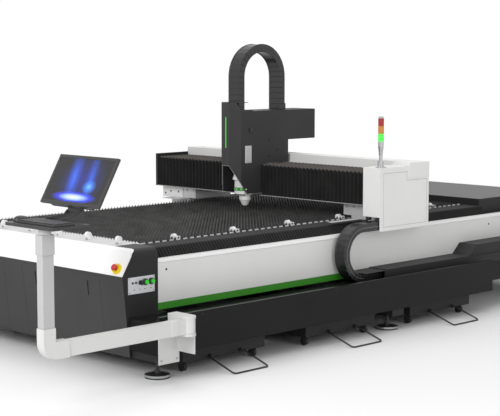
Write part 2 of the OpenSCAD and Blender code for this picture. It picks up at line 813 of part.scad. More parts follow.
module way_wipers() color("#a9acae") place() both_sides()
    box([saddle_x0 - wiper_l, saddle_x0], [-lane_out + 20, -saddle_in],
        [deck_z + slide_gap, deck_z + slide_gap + 3]);

module beam_rails() color("#9a9da0") place() for (z = beam_rail_zs)
    box([core_x0 - beam_rail, core_x0], [near_y + end_plate_t, far_y - end_plate_t], [z, z + beam_rail]);

module signal_pole() color("#b9bcc0") place() translate([gantry_x + 50, box_y + 40, endbox_z]) {
    cylinder(d = lamp_d * 1.85, h = 6);
    cylinder(d = lamp_d * 1.1, h = 46);
    cylinder(d = lamp_d * 0.65, h = pole_h - 20);
    translate([0, 0, pole_h - 90]) cylinder(d1 = lamp_d * 0.65, d2 = lamp_d, h = 60);
    translate([0, 0, pole_h - 30]) cylinder(d = lamp_d, h = 30);
    translate([0, 0, pole_h + 3 * lamp_h]) cylinder(d1 = lamp_d, d2 = lamp_d * 0.7, h = 12);
}

module signal_lamps() color("#d04a20") place() translate([gantry_x + 50, box_y + 40, endbox_z + pole_h])
    for (i = [0 : 2]) translate([0, 0, i * lamp_h]) cylinder(d = lamp_d - (i % 2), h = lamp_h);

// Pleated beam cover, an angle of front and top on each side of the head
module beam_pleat(y) {
    z0 = beam_z0 + seat_gap;
    crest = [[pleat_x0, z0], [pleat_x0, pleat_top_z], [cover_x0 - seat_gap, pleat_top_z],
        [cover_x0 - seat_gap, pleat_top_z - 18], [pleat_x0 + 18, pleat_top_z - 18], [pleat_x0 + 18, z0]];
    valley = [for (p = crest) [p.x == pleat_x0 ? p.x + fold_depth : p.x,
        p.y == pleat_top_z ? p.y - fold_depth : p.y]];
    translate([0, y[1], 0]) rotate([90, 0, 0]) pleats(crest, valley, y[1] - y[0], beam_fold);
}

module beam_pleats() color("#1c1c1c") place() {
    beam_pleat([near_y + end_plate_t + seat_gap, head_y0 - seat_gap]);
    beam_pleat([head_y1 + seat_gap, far_y - end_plate_t - seat_gap]);
}

module x_drive() color("#30343a") place() {
    x = gantry_x1 - 110;
    y = near_y - 66;
    box([x - 62, x + 62], [near_y - 128, near_y], [beam_z0 - 30, beam_z0 + 34]);
    rod_z(x, y, [beam_z0 + 33, beam_z0 + 190], 52);
}

// Head
module carriage() color("#3c3c3c") place() difference() {
    union() {
        box([carriage_x0, core_x0 - beam_rail - seat_gap], [head_y0, head_y1],
            [head_z0 + 3, pleat_top_z - 9]);
        for (z = beam_rail_zs, y = [head_y0 + 8, head_y1 - 78])
            box([carriage_x0, core_x0 - seat_gap], [y, y + 70], [z - 12, z + beam_rail + 12]);
    }
    for (z = beam_rail_zs) box([core_x0 - beam_rail - seat_gap, core_x0 + 1], [head_y0 - 1, head_y1 + 1],
        [z - seat_gap, z + beam_rail + seat_gap]);
}

function facet_x(y) = y > fold_y ? head_x + facet_d * (y - fold_y) / (head_y1 - fold_y) : head_x;

module cover_block(t, z) prism_z(z, [
    [head_x + t, head_y0 + t], [head_x + t, fold_y], [head_x + facet_d + t, head_y1 - t],
    [head_x1 + (t > 0 ? 1 : 0), head_y1 - t], [head_x1 + (t > 0 ? 1 : 0), head_y0 + t]]);

module head_cover() color("#474747") place() difference() {
    cover_block(0, [head_z0, head_z1]);
    cover_block(sheet_t, [head_z0 - 1, head_z1 - sheet_t]);
    // Slanted window in the lower front
    prism_x([head_x - 1, head_x + facet_d + sheet_t + 1], [
        [head_y1 - 14, head_z0 - 1], [head_y1 - 14, head_z0 + 190], [fold_y, head_z0 + 190],
        [head_y0 + sheet_t, head_z0 + 70], [head_y0 + sheet_t, head_z0 - 1]]);
    prism_y([head_y0 - 1, head_y1 + 1], [
        [head_x - 1, head_z0 + 70], [head_x - 1, head_z0 - 1], [head_x + 58, head_z0 - 1]]);
    // Cut top corner on the near side
    prism_x([head_x - 1, head_x1 + 1], [
        [head_y0 - 1, head_z1 - 56], [head_y0 + 52, head_z1 + 1], [head_y0 - 1, head_z1 + 1]]);
    // Way in for the arch chain
    box([arch_x - arch_t / 2 - slide_gap, arch_x + arch_t / 2 + slide_gap],
        [arch_y - arch_w / 2 - slide_gap, arch_y + arch_w / 2 + slide_gap],
        [head_z1 - 2 * sheet_t, head_z1 + 1]);
}

module head_box() color("#3d3d3d") place() {
    top_x = head_x1 + headbox_l;
    step_x = cover_x0 - 28;
    difference() {
        prism_y([head_y0, head_y1], [
            [head_x1, head_z0], [carriage_x0, head_z0], [carriage_x0, pleat_top_z + 4],
            [step_x, pleat_top_z + 4], [step_x, headbox_step_z], [top_x, headbox_step_z],
            [top_x, headbox_z1], [head_x1, headbox_z1]]);
        box([head_x1 - 1, head_x1 + pocket_d], [head_y0 + sheet_t, head_y1 - sheet_t],
            [head_z0 - 1, headbox_z1 - 60]);
    }
    box([arch_x + arch_span + arch_t / 2, arch_x + arch_span + arch_t / 2 + 20],
        [arch_y - 40, arch_y + 40], [headbox_z1 - 1, headbox_z1 + 44]);
}

module light_strip() color("#4fae3f") place() {
    y = [fold_y + 31, fold_y + 43];
    prism_z([head_z1 - 319, head_z1 - 104], [
        [facet_x(y[0]), y[0]], [facet_x(y[1]), y[1]],
        [facet_x(y[1]) - 2, y[1]], [facet_x(y[0]) - 2, y[0]]]);
}

// Straight leg of the arch chain
module arch_leg(x, z) {
    box([x - arch_t / 2 + 5, x + arch_t / 2 - 5], [arch_y - arch_w / 2 + 5, arch_y + arch_w / 2 - 5], z);
    links = max(1, floor((z[1] - z[0]) / link_pitch));
    for (i = [0 : links - 1])
        box([x - arch_t / 2, x + arch_t / 2], [arch_y - arch_w / 2, arch_y + arch_w / 2],
            [z[1] - (i + 1) * link_pitch + 3, z[1] - i * link_pitch - 3]);
}

module arch_chain() color("#232323") place() {
    arch_leg(arch_x, [chain_foot_z, arch_z]);
    arch_leg(arch_x + arch_span, [headbox_z1, arch_z]);
    translate([arch_x + arch_r, arch_y, arch_z]) rotate([0, 90, 0]) chain_bend(arch_r, arch_w, arch_t);
}

// Cutting head
module cutting_head() color("#eeeeee") place() {
    c = cutter_w / 2;
    box([nozzle_x - c, nozzle_x + c], [nozzle_y - c, nozzle_y + c], [nozzle_z + 190, nozzle_z + 400]);
    box([nozzle_x + c - 1, head_x1 + pocket_d - seat_gap], [nozzle_y - 30, nozzle_y + 30],
        [nozzle_z + 200, nozzle_z + 390]);
    translate([nozzle_x, nozzle_y, nozzle_z]) {
        translate([0, 0, 84]) cylinder(d = cutter_w, h = 28);
        translate([0, 0, 111]) cylinder(d = cutter_w - 12, h = 26);
        translate([0, 0, 136]) cylinder(d = cutter_w, h = 55);
    }
}

module sensor_ring() color("#2f9a2a") place() translate([nozzle_x, nozzle_y, nozzle_z + 112]) difference() {
    cylinder(d = cutter_w + 3, h = 24);
    translate([0, 0, -1]) cylinder(d = cutter_w - 12, h = 26);
}

module nozzle() color("#e6e6e6") place() translate([nozzle_x, nozzle_y, nozzle_z]) difference() {
    rotate_extrude() polygon([[0, 0], [9, 0], [14, 16], [26, 34], [36, 46], [36, 84], [0, 84]]);
    translate([0, 0, -1]) cylinder(d = 5, h = 40);
}

// Swing console
module console_bracket() color("#efefef") place() {
    z = [arm_z - 14 - seat_gap, arm_z + arm_h + seat_gap + 14];
    lug = arm_h / 2 + 5;
    web_in = 20;
    box([pivot_x - 87, pivot_x + 62], [trough_y - 6, trough_y], [frame_z, arm_z + 20]);
    box([pivot_x - web_in, pivot_x + lug], [pivot_y + lug + 6, trough_y - 5], z);
    for (s = [z[0], z[1] - 14]) {
        box([pivot_x - lug, pivot_x + lug], [pivot_y, pivot_y + lug + 7], [s, s + 14]);
        rod_z(pivot_x, pivot_y, [s, s + 14], lug);
    }
    rod_z(pivot_x, pivot_y, [z[0], z[1]], arm_pin_d / 2);
}

module console_arm() color("#f0f0f0") place() {
    y = [pivot_y - arm_w / 2, pivot_y + arm_w / 2];
    difference() {
        union() {
            rod_z(pivot_x, pivot_y, [arm_z, arm_z + arm_h], arm_h / 2 + 2);
            box([post_x + post_w / 2, pivot_x], y, [arm_z, arm_z + arm_h]);
        }
        rod_z(pivot_x, pivot_y, [arm_z - 1, arm_z + arm_h + 1], arm_pin_d / 2 + run_gap);
    }
    x = [post_x - post_w / 2, post_x + post_w / 2];
    left = x[0] - sheet_t;
    low = arm_z - sheet_t;
    sleeve_y = [y[0] - sheet_t, y[1] + sheet_t];
    elbow_r = arm_h + 2 * sheet_t;
    box(x, y, [arm_z + arm_h, post_top_z - 1]);
    box([left, x[1] + sheet_t], sleeve_y, [post_top_z - sleeve_h, post_top_z]);
    // Elbow with a round outer corner
    intersection() {
        rod_y(left + elbow_r, sleeve_y, low + elbow_r, elbow_r);
        box([left, left + elbow_r], sleeve_y, [low, low + elbow_r]);
    }
    box([left + elbow_r, left + elbow_l], sleeve_y, [low, low + elbow_r]);
    box([left, x[1] + sheet_t], sleeve_y, [low + elbow_r, low + elbow_l]);
    rod_z(post_x, pivot_y, [post_top_z - 1, post_top_z + 22], swivel_pin_d / 2);
}

module rounded_plate(x, y, z, r) {
    box([x[0] + r, x[1] - r], y, z);
    box(x, [y[0] + r, y[1] - r], z);
    for (i = [0, 1], k = [0, 1]) rod_z(x[i] + (1 - 2 * i) * r, y[k] + (1 - 2 * k) * r, z, r);
}

module keyboard_tray() color("#ededed") place() {
    x1 = tray_x0 + tray_d;
    difference() {
        union() {
            rod_z(post_x, pivot_y, [post_top_z + seat_gap, tray_z + 1], collar_d / 2);
            rounded_plate([tray_x0, x1], [tray_y0, tray_y0 + tray_w], [tray_z, tray_z + tray_t], 16);
        }
        rod_z(post_x, pivot_y, [post_top_z - 1, post_top_z + 23], swivel_pin_d / 2 + run_gap);
    }
    for (s = [-1, 1]) neck_plate(monitor_y + s * 55);
    rod_y(tilt_x, [monitor_y - 58, monitor_y + 58], tilt_z, tilt_pin_r);
}

module neck_plate(y) prism_y([y - 4, y + 4], [
    [tilt_x - 145, tray_z + tray_t - 1], [tilt_x - 90, tray_z + tray_t - 1],
    [tilt_x - 30, tray_z + tray_t + 2], [tilt_x + 12, tilt_z - 18], [tilt_x + 12, tilt_z + 12],
    [tilt_x - 12, tilt_z + 12], [tilt_x - 34, tilt_z - 8], [tilt_x - 145, tray_z + tray_t + 16]]);

module keyboard() color("#222222") place() {
    y1 = tray_y0 + tray_w - 70;
    box([tray_x0 + 24, tray_x0 + 154], [tray_y0 + 18, y1], [tray_z + tray_t, tray_z + tray_t + 12]);
    for (i = [0 : 3]) box([tray_x0 + 32 + i * 30, tray_x0 + 56 + i * 30], [tray_y0 + 26, y1 - 8],
        [tray_z + tray_t + 11, tray_z + tray_t + 18]);
}

module mouse() color("#222222") place() translate([tray_x0 + 84, tray_y0 + tray_w - 36, tray_z + tray_t])
    intersection() {
        translate([0, 0, -30]) sphere(r = 58);
        translate([-48, -26, 0]) cube([96, 52, 40]);
    }

// Frame of the leaning monitor: x into the screen, z up its face
module on_monitor() translate([monitor_x, monitor_y, monitor_z]) rotate([0, monitor_lean, 0]) children();

module screen_block(front) {
    w = monitor_w / 2 - bezel;
    box([front, screen_depth], [-w, w], [bezel + 2, monitor_h - bezel]);
}

module monitor() color("#3a3a3a") place() {
    on_monitor() difference() {
        union() {
            box([0, rim_t], [-monitor_w / 2, monitor_w / 2], [0, monitor_h]);
            box([rim_t - 1, monitor_t], [back_in - monitor_w / 2, monitor_w / 2 - back_in],
                [0, monitor_h - back_in]);
        }
        screen_block(-1);
    }
    difference() {
        prism_y([monitor_y - 50, monitor_y + 50], [
            [tilt_x - 12, tilt_z - 6], [tilt_x + 11, tilt_z - 6], [tilt_x + 14, tilt_z + 40],
            [tilt_x - 8, tilt_z + 40], [tilt_x - 13, tilt_z + 22]]);
        rod_y(tilt_x, [monitor_y - 51, monitor_y + 51], tilt_z, tilt_pin_r + run_gap);
    }
}

module screen() color("#1668b8") place() on_monitor() screen_block(1);

// Scrap carts
module castor(y) {
    r = castor_d / 2;
    rod_x([-castor_w / 2, castor_w / 2], y, castor_z, r);
    rod_x([-castor_w / 2 - 5, castor_w / 2 + 5], y, castor_z, 5);
    fork_x = castor_w / 2 + 3;
    for (s = [-1, 1])
        box([s * fork_x - 2, s * fork_x + 2], [y - 12, y + 12], [castor_z - 8, cart_z + 1]);
}

module cart(i) translate([cart_xs[i], 0, 0]) {
    w = cart_w / 2;
    y = [cart_y0, cart_y0 + cart_l];
    eye_x = bail_w / 2 - 15;
    difference() {
        box([-w, w], y, [cart_z, cart_z + cart_h]);
        box([-w + sheet_t, w - sheet_t], [y[0] + sheet_t, y[1] - sheet_t],
            [cart_z + sheet_t, cart_z + cart_h + 1]);
    }
    for (s = [-1, 1]) {
        translate([s * (w - 46), 0, 0]) {
            castor(y[0] + 55);
            castor(y[1] - 55);
        }
        difference() {
            box([s * eye_x - 7, s * eye_x + 7], [bail_y - 10, y[0] + 1], [bail_z - 10, bail_z + 10]);
            rod_x([s * eye_x - 8, s * eye_x + 8], bail_y, bail_z, bail_d / 2 + run_gap);
        }
    }
}

module cart_1() color("#303030") place() cart(0);
module cart_2() color("#303030") place() cart(1);
module cart_3() color("#303030") place() cart(2);

// Wire bail, hinged along X at the foot of a cart's front
module bail(i) translate([cart_xs[i], bail_y, bail_z]) rotate([bail_drop, 0, 0]) {
    w = bail_w / 2;
    r = bail_d / 2;
    reach = bail_l - bail_bend;
    rod_x([-w + bail_bend, w - bail_bend], -bail_l, 0, r);
    for (s = [-1, 1]) {
        rod_x([s > 0 ? w - 24 : -w, s > 0 ? w : -w + 24], 0, 0, r);
        rod_y(s * w, [-reach, 0], 0, r);
        translate([s * (w - bail_bend), -reach, 0]) rotate([0, 0, s > 0 ? 270 : 180])
            rotate_extrude(angle = 90) translate([bail_bend, 0]) circle(r = r);
        translate([s * w, 0, 0]) sphere(r = r);
    }
}

module bail_1() color("#3a3a3a") place() bail(0);
module bail_2() color("#3a3a3a") place() bail(1);
module bail_3() color("#3a3a3a") place() bail(2);

base_frame();
levelling_feet();
side_panels();
side_stripes();
end_housing();
corner_covers();
end_fascia();
service_panels();
panel_latches();
control_plate();
cable_trough();
channel_cover();
rear_cable_cover();
comb_rails();
slats();
bed_border();
way_rails();
rear_platform();
roller_brackets();
console_bracket();
estop_collar();
way_pleats_front();
way_pleats_rear();
side_chain();
end_rollers();
near_rollers();
gantry_beam();
end_box();
far_end_cover();
saddles();
way_wipers();
beam_rails();
signal_pole();
signal_lamps();
beam_pleats();
x_drive();
carriage();
head_cover();
head_box();
light_strip();
arch_chain();
cutting_head();
nozzle();
sensor_ring();
console_arm();
keyboard_tray();
keyboard();
mouse();
monitor();
screen();
estop_button();
start_button();
stop_button();
selector_knob();
cart_1();
cart_2();
cart_3();
bail_1();
bail_2();
bail_3();
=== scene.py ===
import math

import bmesh
import bpy
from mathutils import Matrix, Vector


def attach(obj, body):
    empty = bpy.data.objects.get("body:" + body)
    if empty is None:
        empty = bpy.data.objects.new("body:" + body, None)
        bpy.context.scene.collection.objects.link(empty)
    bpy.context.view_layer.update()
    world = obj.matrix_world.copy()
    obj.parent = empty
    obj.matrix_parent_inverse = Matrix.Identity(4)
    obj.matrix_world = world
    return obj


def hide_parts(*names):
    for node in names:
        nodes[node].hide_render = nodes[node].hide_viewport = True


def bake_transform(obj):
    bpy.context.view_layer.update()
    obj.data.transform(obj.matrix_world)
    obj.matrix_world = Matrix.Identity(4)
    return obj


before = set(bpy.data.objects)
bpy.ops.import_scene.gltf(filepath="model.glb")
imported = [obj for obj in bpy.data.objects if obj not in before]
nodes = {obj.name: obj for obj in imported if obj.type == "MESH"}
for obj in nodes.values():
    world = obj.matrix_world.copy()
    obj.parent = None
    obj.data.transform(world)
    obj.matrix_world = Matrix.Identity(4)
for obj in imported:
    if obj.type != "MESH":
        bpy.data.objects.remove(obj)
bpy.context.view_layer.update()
midX, midY = 1680.5, -225.5  # machine millimetres that stand over the row's origin


def spot(x, y, z):
    return Vector(((x - midX) / 1000, (y - midY) / 1000, z / 1000))


# finishes

def addNode(tree, kind, **values):
    node = tree.nodes.new(kind)
    for key, value in values.items():
        setattr(node, key, value)
    return node


coatDetail = {"patchDetail": 6, "patchRamp": (0.3, 0.7), "grainDetail": 2, "roughSwing": 0.07, "roughLeast": 0.02,
              "relief": 0.001, "edgeSamples": 4}


def newFinish(name, colour, rough=0.5, metal=0.0, tint=0.10, patch=3.0, grain=900.0, bump=0.06,
              edge=0.0012, stretch=(1, 1, 1), glow=0.0, dust=0.0, sheen=0.0, gloss=0.5):
    d = coatDetail
    mat = bpy.data.materials.new(name)
    mat.use_nodes = True
    tree = mat.node_tree
    shader = tree.nodes["Principled BSDF"]
    link = tree.links.new
    coord = addNode(tree, "ShaderNodeTexCoord")
    mapping = addNode(tree, "ShaderNodeMapping")
    mapping.inputs["Scale"].default_value = stretch
    link(coord.outputs["Object"], mapping.inputs["Vector"])
    patches = addNode(tree, "ShaderNodeTexNoise")  # broad drift of the colour
    patches.inputs["Scale"].default_value = patch
    patches.inputs["Detail"].default_value = d["patchDetail"]
    link(mapping.outputs["Vector"], patches.inputs["Vector"])
    ramp = addNode(tree, "ShaderNodeValToRGB")
    low, high = ramp.color_ramp.elements
    low.position, high.position = d["patchRamp"]
    low.color = [c * (1 - tint) for c in colour] + [1]
    high.color = [min(1, c * (1 + tint) + dust) for c in colour] + [1]
    link(patches.outputs["Fac"], ramp.inputs["Fac"])
    link(ramp.outputs["Color"], shader.inputs["Base Color"])
    fine = addNode(tree, "ShaderNodeTexNoise")  # grain of the coat
    fine.inputs["Scale"].default_value = grain
    fine.inputs["Detail"].default_value = d["grainDetail"]
    link(mapping.outputs["Vector"], fine.inputs["Vector"])
    spread = addNode(tree, "ShaderNodeMapRange")
    spread.inputs["To Min"].default_value = max(d["roughLeast"], rough - d["roughSwing"])
    spread.inputs["To Max"].default_value = min(1, rough + d["roughSwing"])
    link(fine.outputs["Fac"], spread.inputs["Value"])
    link(spread.outputs["Result"], shader.inputs["Roughness"])
    relief = addNode(tree, "ShaderNodeBump")
    relief.inputs["Strength"].default_value = bump
    relief.inputs["Distance"].default_value = d["relief"]
    link(fine.outputs["Fac"], relief.inputs["Height"])
    if edge:
        soften = addNode(tree, "ShaderNodeBevel", samples=d["edgeSamples"])  # soft edge of bent sheet
        soften.inputs["Radius"].default_value = edge
        link(soften.outputs["Normal"], relief.inputs["Normal"])
    link(relief.outputs["Normal"], shader.inputs["Normal"])
    shader.inputs["Metallic"].default_value = metal
    shader.inputs["Specular IOR Level"].default_value = gloss
    shader.inputs["Sheen Weight"].default_value = sheen
    if glow:
        shader.inputs["Emission Color"].default_value = list(colour) + [1]
        shader.inputs["Emission Strength"].default_value = glow
    return mat


looks = {
    "darkCoat": dict(colour=(0.020, 0.020, 0.021), rough=0.52, grain=700, bump=0.12, gloss=0.2),
    "doorCoat": dict(colour=(0.044, 0.044, 0.045), rough=0.55, grain=700, bump=0.12, gloss=0.2),
    "headCoat": dict(colour=(0.038, 0.038, 0.039), rough=0.5, grain=800, bump=0.1, gloss=0.2),
    "troughCoat": dict(colour=(0.009, 0.009, 0.0095), rough=0.26, grain=700, bump=0.04, gloss=0.12),
    "shadeCoat": dict(colour=(0.010, 0.010, 0.010), rough=0.6, grain=700, bump=0.1, gloss=0.08),
    "whiteCoat": dict(colour=(0.74, 0.74, 0.73), rough=0.42, tint=0.02, grain=600, bump=0.05, edge=0.002),
    "fasciaCoat": dict(colour=(0.84, 0.84, 0.84), rough=0.4, tint=0.015, grain=600, bump=0.05, edge=0.002),
    "armCoat": dict(colour=(0.58, 0.58, 0.57), rough=0.4, tint=0.02, grain=500, bump=0.05, edge=0.003),
    # darker grey of the arm paint, painted shade on the upright post and the collar
    "shadedPostCoat": dict(colour=(0.42, 0.42, 0.42), rough=0.42, tint=0.03, grain=500, bump=0.05, edge=0.003),
    "seamGrey": dict(colour=(0.34, 0.34, 0.34), rough=0.6, tint=0.1, patch=20, edge=0),
    "greenCoat": dict(colour=(0.034, 0.235, 0.012), rough=0.45, tint=0.05, grain=600),
    "greyCoat": dict(colour=(0.080, 0.080, 0.080), rough=0.5, tint=0.05, grain=700, bump=0.08, gloss=0.3),
    "lightSteel": dict(colour=(0.56, 0.56, 0.57), rough=0.42, metal=0.35, tint=0.06, patch=9, grain=260,
                       stretch=(0.15, 1, 1)),
    "combSteel": dict(colour=(0.70, 0.70, 0.70), rough=0.5, tint=0.10, patch=20, grain=500, edge=0),
    "slatSteel": dict(colour=(0.058, 0.057, 0.056), rough=0.5, metal=0.45, tint=0.35, patch=14, grain=420,
                      bump=0.2, edge=0, dust=0.012),
    "railSteel": dict(colour=(0.42, 0.43, 0.44), rough=0.28, metal=0.9, tint=0.04, patch=30, grain=300,
                      stretch=(0.05, 1, 1)),
    "wireSteel": dict(colour=(0.018, 0.018, 0.019), rough=0.4, metal=0.2, tint=0.1, grain=500),
    "pleatCloth": dict(colour=(0.0085, 0.0082, 0.008), rough=0.7, tint=0.18, patch=8, grain=1500, bump=0.35,
                       edge=0, dust=0.003, sheen=0.05, gloss=0.12),
    # lighter cloth for the fold tops, painted light falling from above
    "pleatTopLit": dict(colour=(0.075, 0.068, 0.062), rough=0.75, tint=0.16, patch=10, grain=1500, bump=0.3,
                     edge=0, dust=0.01, gloss=0.15),
    "chainPlastic": dict(colour=(0.012, 0.012, 0.013), rough=0.24, tint=0.1, grain=800, edge=0.0015),
    # pale grey for a painted highlight along the chain's edge
    "chainRimHighlight": dict(colour=(0.16, 0.16, 0.165), rough=0.35, tint=0.1, grain=800, edge=0),
    "blackPlastic": dict(colour=(0.016, 0.016, 0.017), rough=0.42, tint=0.1, grain=1200, bump=0.15),
    "bezelPlastic": dict(colour=(0.024, 0.024, 0.025), rough=0.42, tint=0.08, grain=1400, bump=0.12, edge=0.003),
    "keyPlastic": dict(colour=(0.022, 0.022, 0.023), rough=0.5, tint=0.12, patch=40, grain=1600, bump=0.2),
    "footIron": dict(colour=(0.030, 0.030, 0.031), rough=0.3, metal=0.3, tint=0.2, patch=25, grain=500),
    "rollerPlastic": dict(colour=(0.80, 0.80, 0.80), rough=0.3, tint=0.03, patch=30, edge=0.003),
    "yellowPlastic": dict(colour=(0.78, 0.60, 0.012), rough=0.35, tint=0.06, patch=30),
    "redPlastic": dict(colour=(0.50, 0.012, 0.014), rough=0.28, tint=0.08, patch=30, edge=0.002),
    "greenPlastic": dict(colour=(0.012, 0.52, 0.012), rough=0.28, tint=0.06, patch=40, glow=0.25),
    "ringGreen": dict(colour=(0.025, 0.27, 0.018), rough=0.35, tint=0.08, patch=30),
    "stripGreen": dict(colour=(0.075, 0.43, 0.045), rough=0.3, tint=0.03, patch=30, glow=0.35),
    "lampRed": dict(colour=(0.35, 0.020, 0.020), rough=0.2, tint=0.12, patch=60),
    "lampAmber": dict(colour=(0.55, 0.22, 0.030), rough=0.2, tint=0.12, patch=60),
    "lampGreen": dict(colour=(0.06, 0.72, 0.06), rough=0.2, tint=0.05, patch=60, glow=0.5),
    "poleMetal": dict(colour=(0.45, 0.455, 0.46), rough=0.22, metal=0.9, tint=0.04, patch=40, grain=500),
    "plateMetal": dict(colour=(0.60, 0.61, 0.63), rough=0.36, metal=0.3, tint=0.03, patch=20, grain=700),
    "copper": dict(colour=(0.62, 0.28, 0.14), rough=0.25, metal=0.95, tint=0.08, patch=60, grain=600),
    "rubber": dict(colour=(0.012, 0.012, 0.012), rough=0.75, tint=0.15, patch=20, grain=900, bump=0.2),
    "holeDark": dict(colour=(0.004, 0.004, 0.004), rough=0.8, tint=0.1, edge=0),
    "markGrey": dict(colour=(0.10, 0.10, 0.11), rough=0.5, tint=0.1, edge=0),
}
finishes = {name: newFinish(name, **look) for name, look in looks.items()}

# patches of light as place (right, up), reach (wide, high) and tones from the middle out, in shares of the screen
screenPicture = {
    "beams": [(0.39, 0.13, (0.03, 0.14, 0.90)), (0.70, 0.10, (0.02, 0.11, 0.70))],
    "beamLean": -0.07, "beamMiddle": 0.55, "beamHigh": 0.75, "beamFade": 0.35,
    "pool": ((0.52, 0.12), (0.42, 0.13), [(1, 1, 1), (0.55, 0.75, 1), (0.03, 0.05, 0.85)]),
    "spark": ((0.72, 0.38), (0.13, 0.16), [(0.16, 0.50, 0.80), (0.03, 0.16, 0.50)]),
    "haze": ((0.55, 0.5), (0.42, 0.62), [(0.008, 0.016, 0.24), (0.005, 0.010, 0.14)]),
    "through": 9, "strength": 1.0,
    "speckScale": 90, "speckDetail": 3, "speckFrom": (0.3, 0.7), "speckTo": (0.55, 1.45),
    "glass": (0.030, 0.030, 0.032, 1), "rough": 0.3, "gloss": 0.2}


def screenFinish(s):
    mat = bpy.data.materials.new("screenGlow")
    mat.use_nodes = True
    tree = mat.node_tree
    shader = tree.nodes["Principled BSDF"]
    link = tree.links.new
    coord = addNode(tree, "ShaderNodeTexCoord")
    layers = []

    def addLight(place, reach, tones, lean=0.0):
        mapping = addNode(tree, "ShaderNodeMapping", vector_type="TEXTURE")
        mapping.inputs["Location"].default_value = (0.5, 1 - place[0], place[1])
        mapping.inputs["Rotation"].default_value = (lean, 0, 0)
        mapping.inputs["Scale"].default_value = (s["through"], *reach)
        link(coord.outputs["Generated"], mapping.inputs["Vector"])
        distance = addNode(tree, "ShaderNodeVectorMath", operation="LENGTH")
        link(mapping.outputs["Vector"], distance.inputs[0])
        ramp = addNode(tree, "ShaderNodeValToRGB")
        ramp.color_ramp.elements[0].color = (*tones[0], 1)
        ramp.color_ramp.elements[1].color = (0, 0, 0, 1)
        for k, tone in enumerate(tones[1:]):
            ramp.color_ramp.elements.new((k + 1) / len(tones)).color = (*tone, 1)
        link(distance.outputs["Value"], ramp.inputs["Fac"])
        layers.append(ramp.outputs["Color"])

    for right, wide, tone in s["beams"]:
        outer = tuple(t * s["beamFade"] for t in tone)
        addLight((right, s["beamMiddle"]), (wide, s["beamHigh"]), [tone, outer], s["beamLean"])
    for patch in ("pool", "spark", "haze"):
        addLight(*s[patch])
    total = layers[0]
    for layer in layers[1:]:
        both = addNode(tree, "ShaderNodeVectorMath", operation="ADD")
        link(total, both.inputs[0])
        link(layer, both.inputs[1])
        total = both.outputs["Vector"]
    specks = addNode(tree, "ShaderNodeTexNoise")  # drifting specks of light
    specks.inputs["Scale"].default_value = s["speckScale"]
    specks.inputs["Detail"].default_value = s["speckDetail"]
    link(coord.outputs["Generated"], specks.inputs["Vector"])
    level = addNode(tree, "ShaderNodeMapRange")
    level.inputs["From Min"].default_value, level.inputs["From Max"].default_value = s["speckFrom"]
    level.inputs["To Min"].default_value, level.inputs["To Max"].default_value = s["speckTo"]
    link(specks.outputs["Fac"], level.inputs["Value"])
    picture = addNode(tree, "ShaderNodeVectorMath", operation="SCALE")
    link(total, picture.inputs[0])
    link(level.outputs["Result"], picture.inputs["Scale"])
    link(picture.outputs["Vector"], shader.inputs["Emission Color"])
    shader.inputs["Emission Strength"].default_value = s["strength"]
    shader.inputs["Base Color"].default_value = s["glass"]
    shader.inputs["Roughness"].default_value = s["rough"]
    shader.inputs["Specular IOR Level"].default_value = s["gloss"]
    return mat


finishes["screenGlow"] = screenFinish(screenPicture)

nodeFinish = {
    "darkCoat": ["base_frame", "corner_covers", "channel_cover", "rear_cable_cover",
                 "far_end_cover", "carriage", "cart_1", "cart_2", "cart_3", "x_drive"],
    "troughCoat": ["cable_trough"],
    "doorCoat": ["end_housing", "service_panels"],
    "headCoat": ["head_cover", "head_box"],
    "whiteCoat": ["side_panels", "gantry_beam", "end_box", "cutting_head"],
    "fasciaCoat": ["end_fascia"],
    "armCoat": ["console_bracket", "console_arm"],
    "greenCoat": ["side_stripes"],
    "greyCoat": ["rear_platform"],
    "lightSteel": ["bed_border", "saddles", "way_wipers"],
    "combSteel": ["comb_rails"],
    "slatSteel": ["slats"],
    "railSteel": ["way_rails", "beam_rails"],
    "wireSteel": ["bail_1", "bail_2", "bail_3"],
    "pleatCloth": ["way_pleats_front", "way_pleats_rear", "beam_pleats"],
    "chainPlastic": ["side_chain", "arch_chain"],
    "blackPlastic": ["panel_latches", "selector_knob", "mouse"],
    "bezelPlastic": ["monitor", "keyboard_tray"],
    "keyPlastic": ["keyboard"],
    "footIron": ["levelling_feet"],
    "rollerPlastic": ["end_rollers", "near_rollers", "roller_brackets"],
    "yellowPlastic": ["estop_collar"],
    "redPlastic": ["estop_button"],
    "greenPlastic": ["start_button", "stop_button"],
    "ringGreen": ["sensor_ring"],
    "stripGreen": ["light_strip"],
    "lampAmber": ["signal_lamps"],
    "poleMetal": ["signal_pole", "nozzle"],
    "plateMetal": ["control_plate"],
    "screenGlow": ["screen"],
}
for finishName, members in nodeFinish.items():
    for member in members:
        nodes[member].data.materials.clear()
        nodes[member].data.materials.append(finishes[finishName])
print("finishes on", sum(len(m) for m in nodeFinish.values()), "nodes")

# heights and places in metres, and how far a face's normal has to lean to count as facing a side
paint = {"faces": 0.5, "cornerFaces": 0.6, "collarTop": 0.9345, "postFoot": 0.44, "ribStart": 1.305,
         "castorTop": 0.06}


def paintFaces(piece, finishName, wanted):
    mesh = piece.data
    mesh.materials.append(finishes[finishName])
    for face in mesh.polygons:
        if wanted(face.normal, face.center):
            face.material_index = len(mesh.materials) - 1


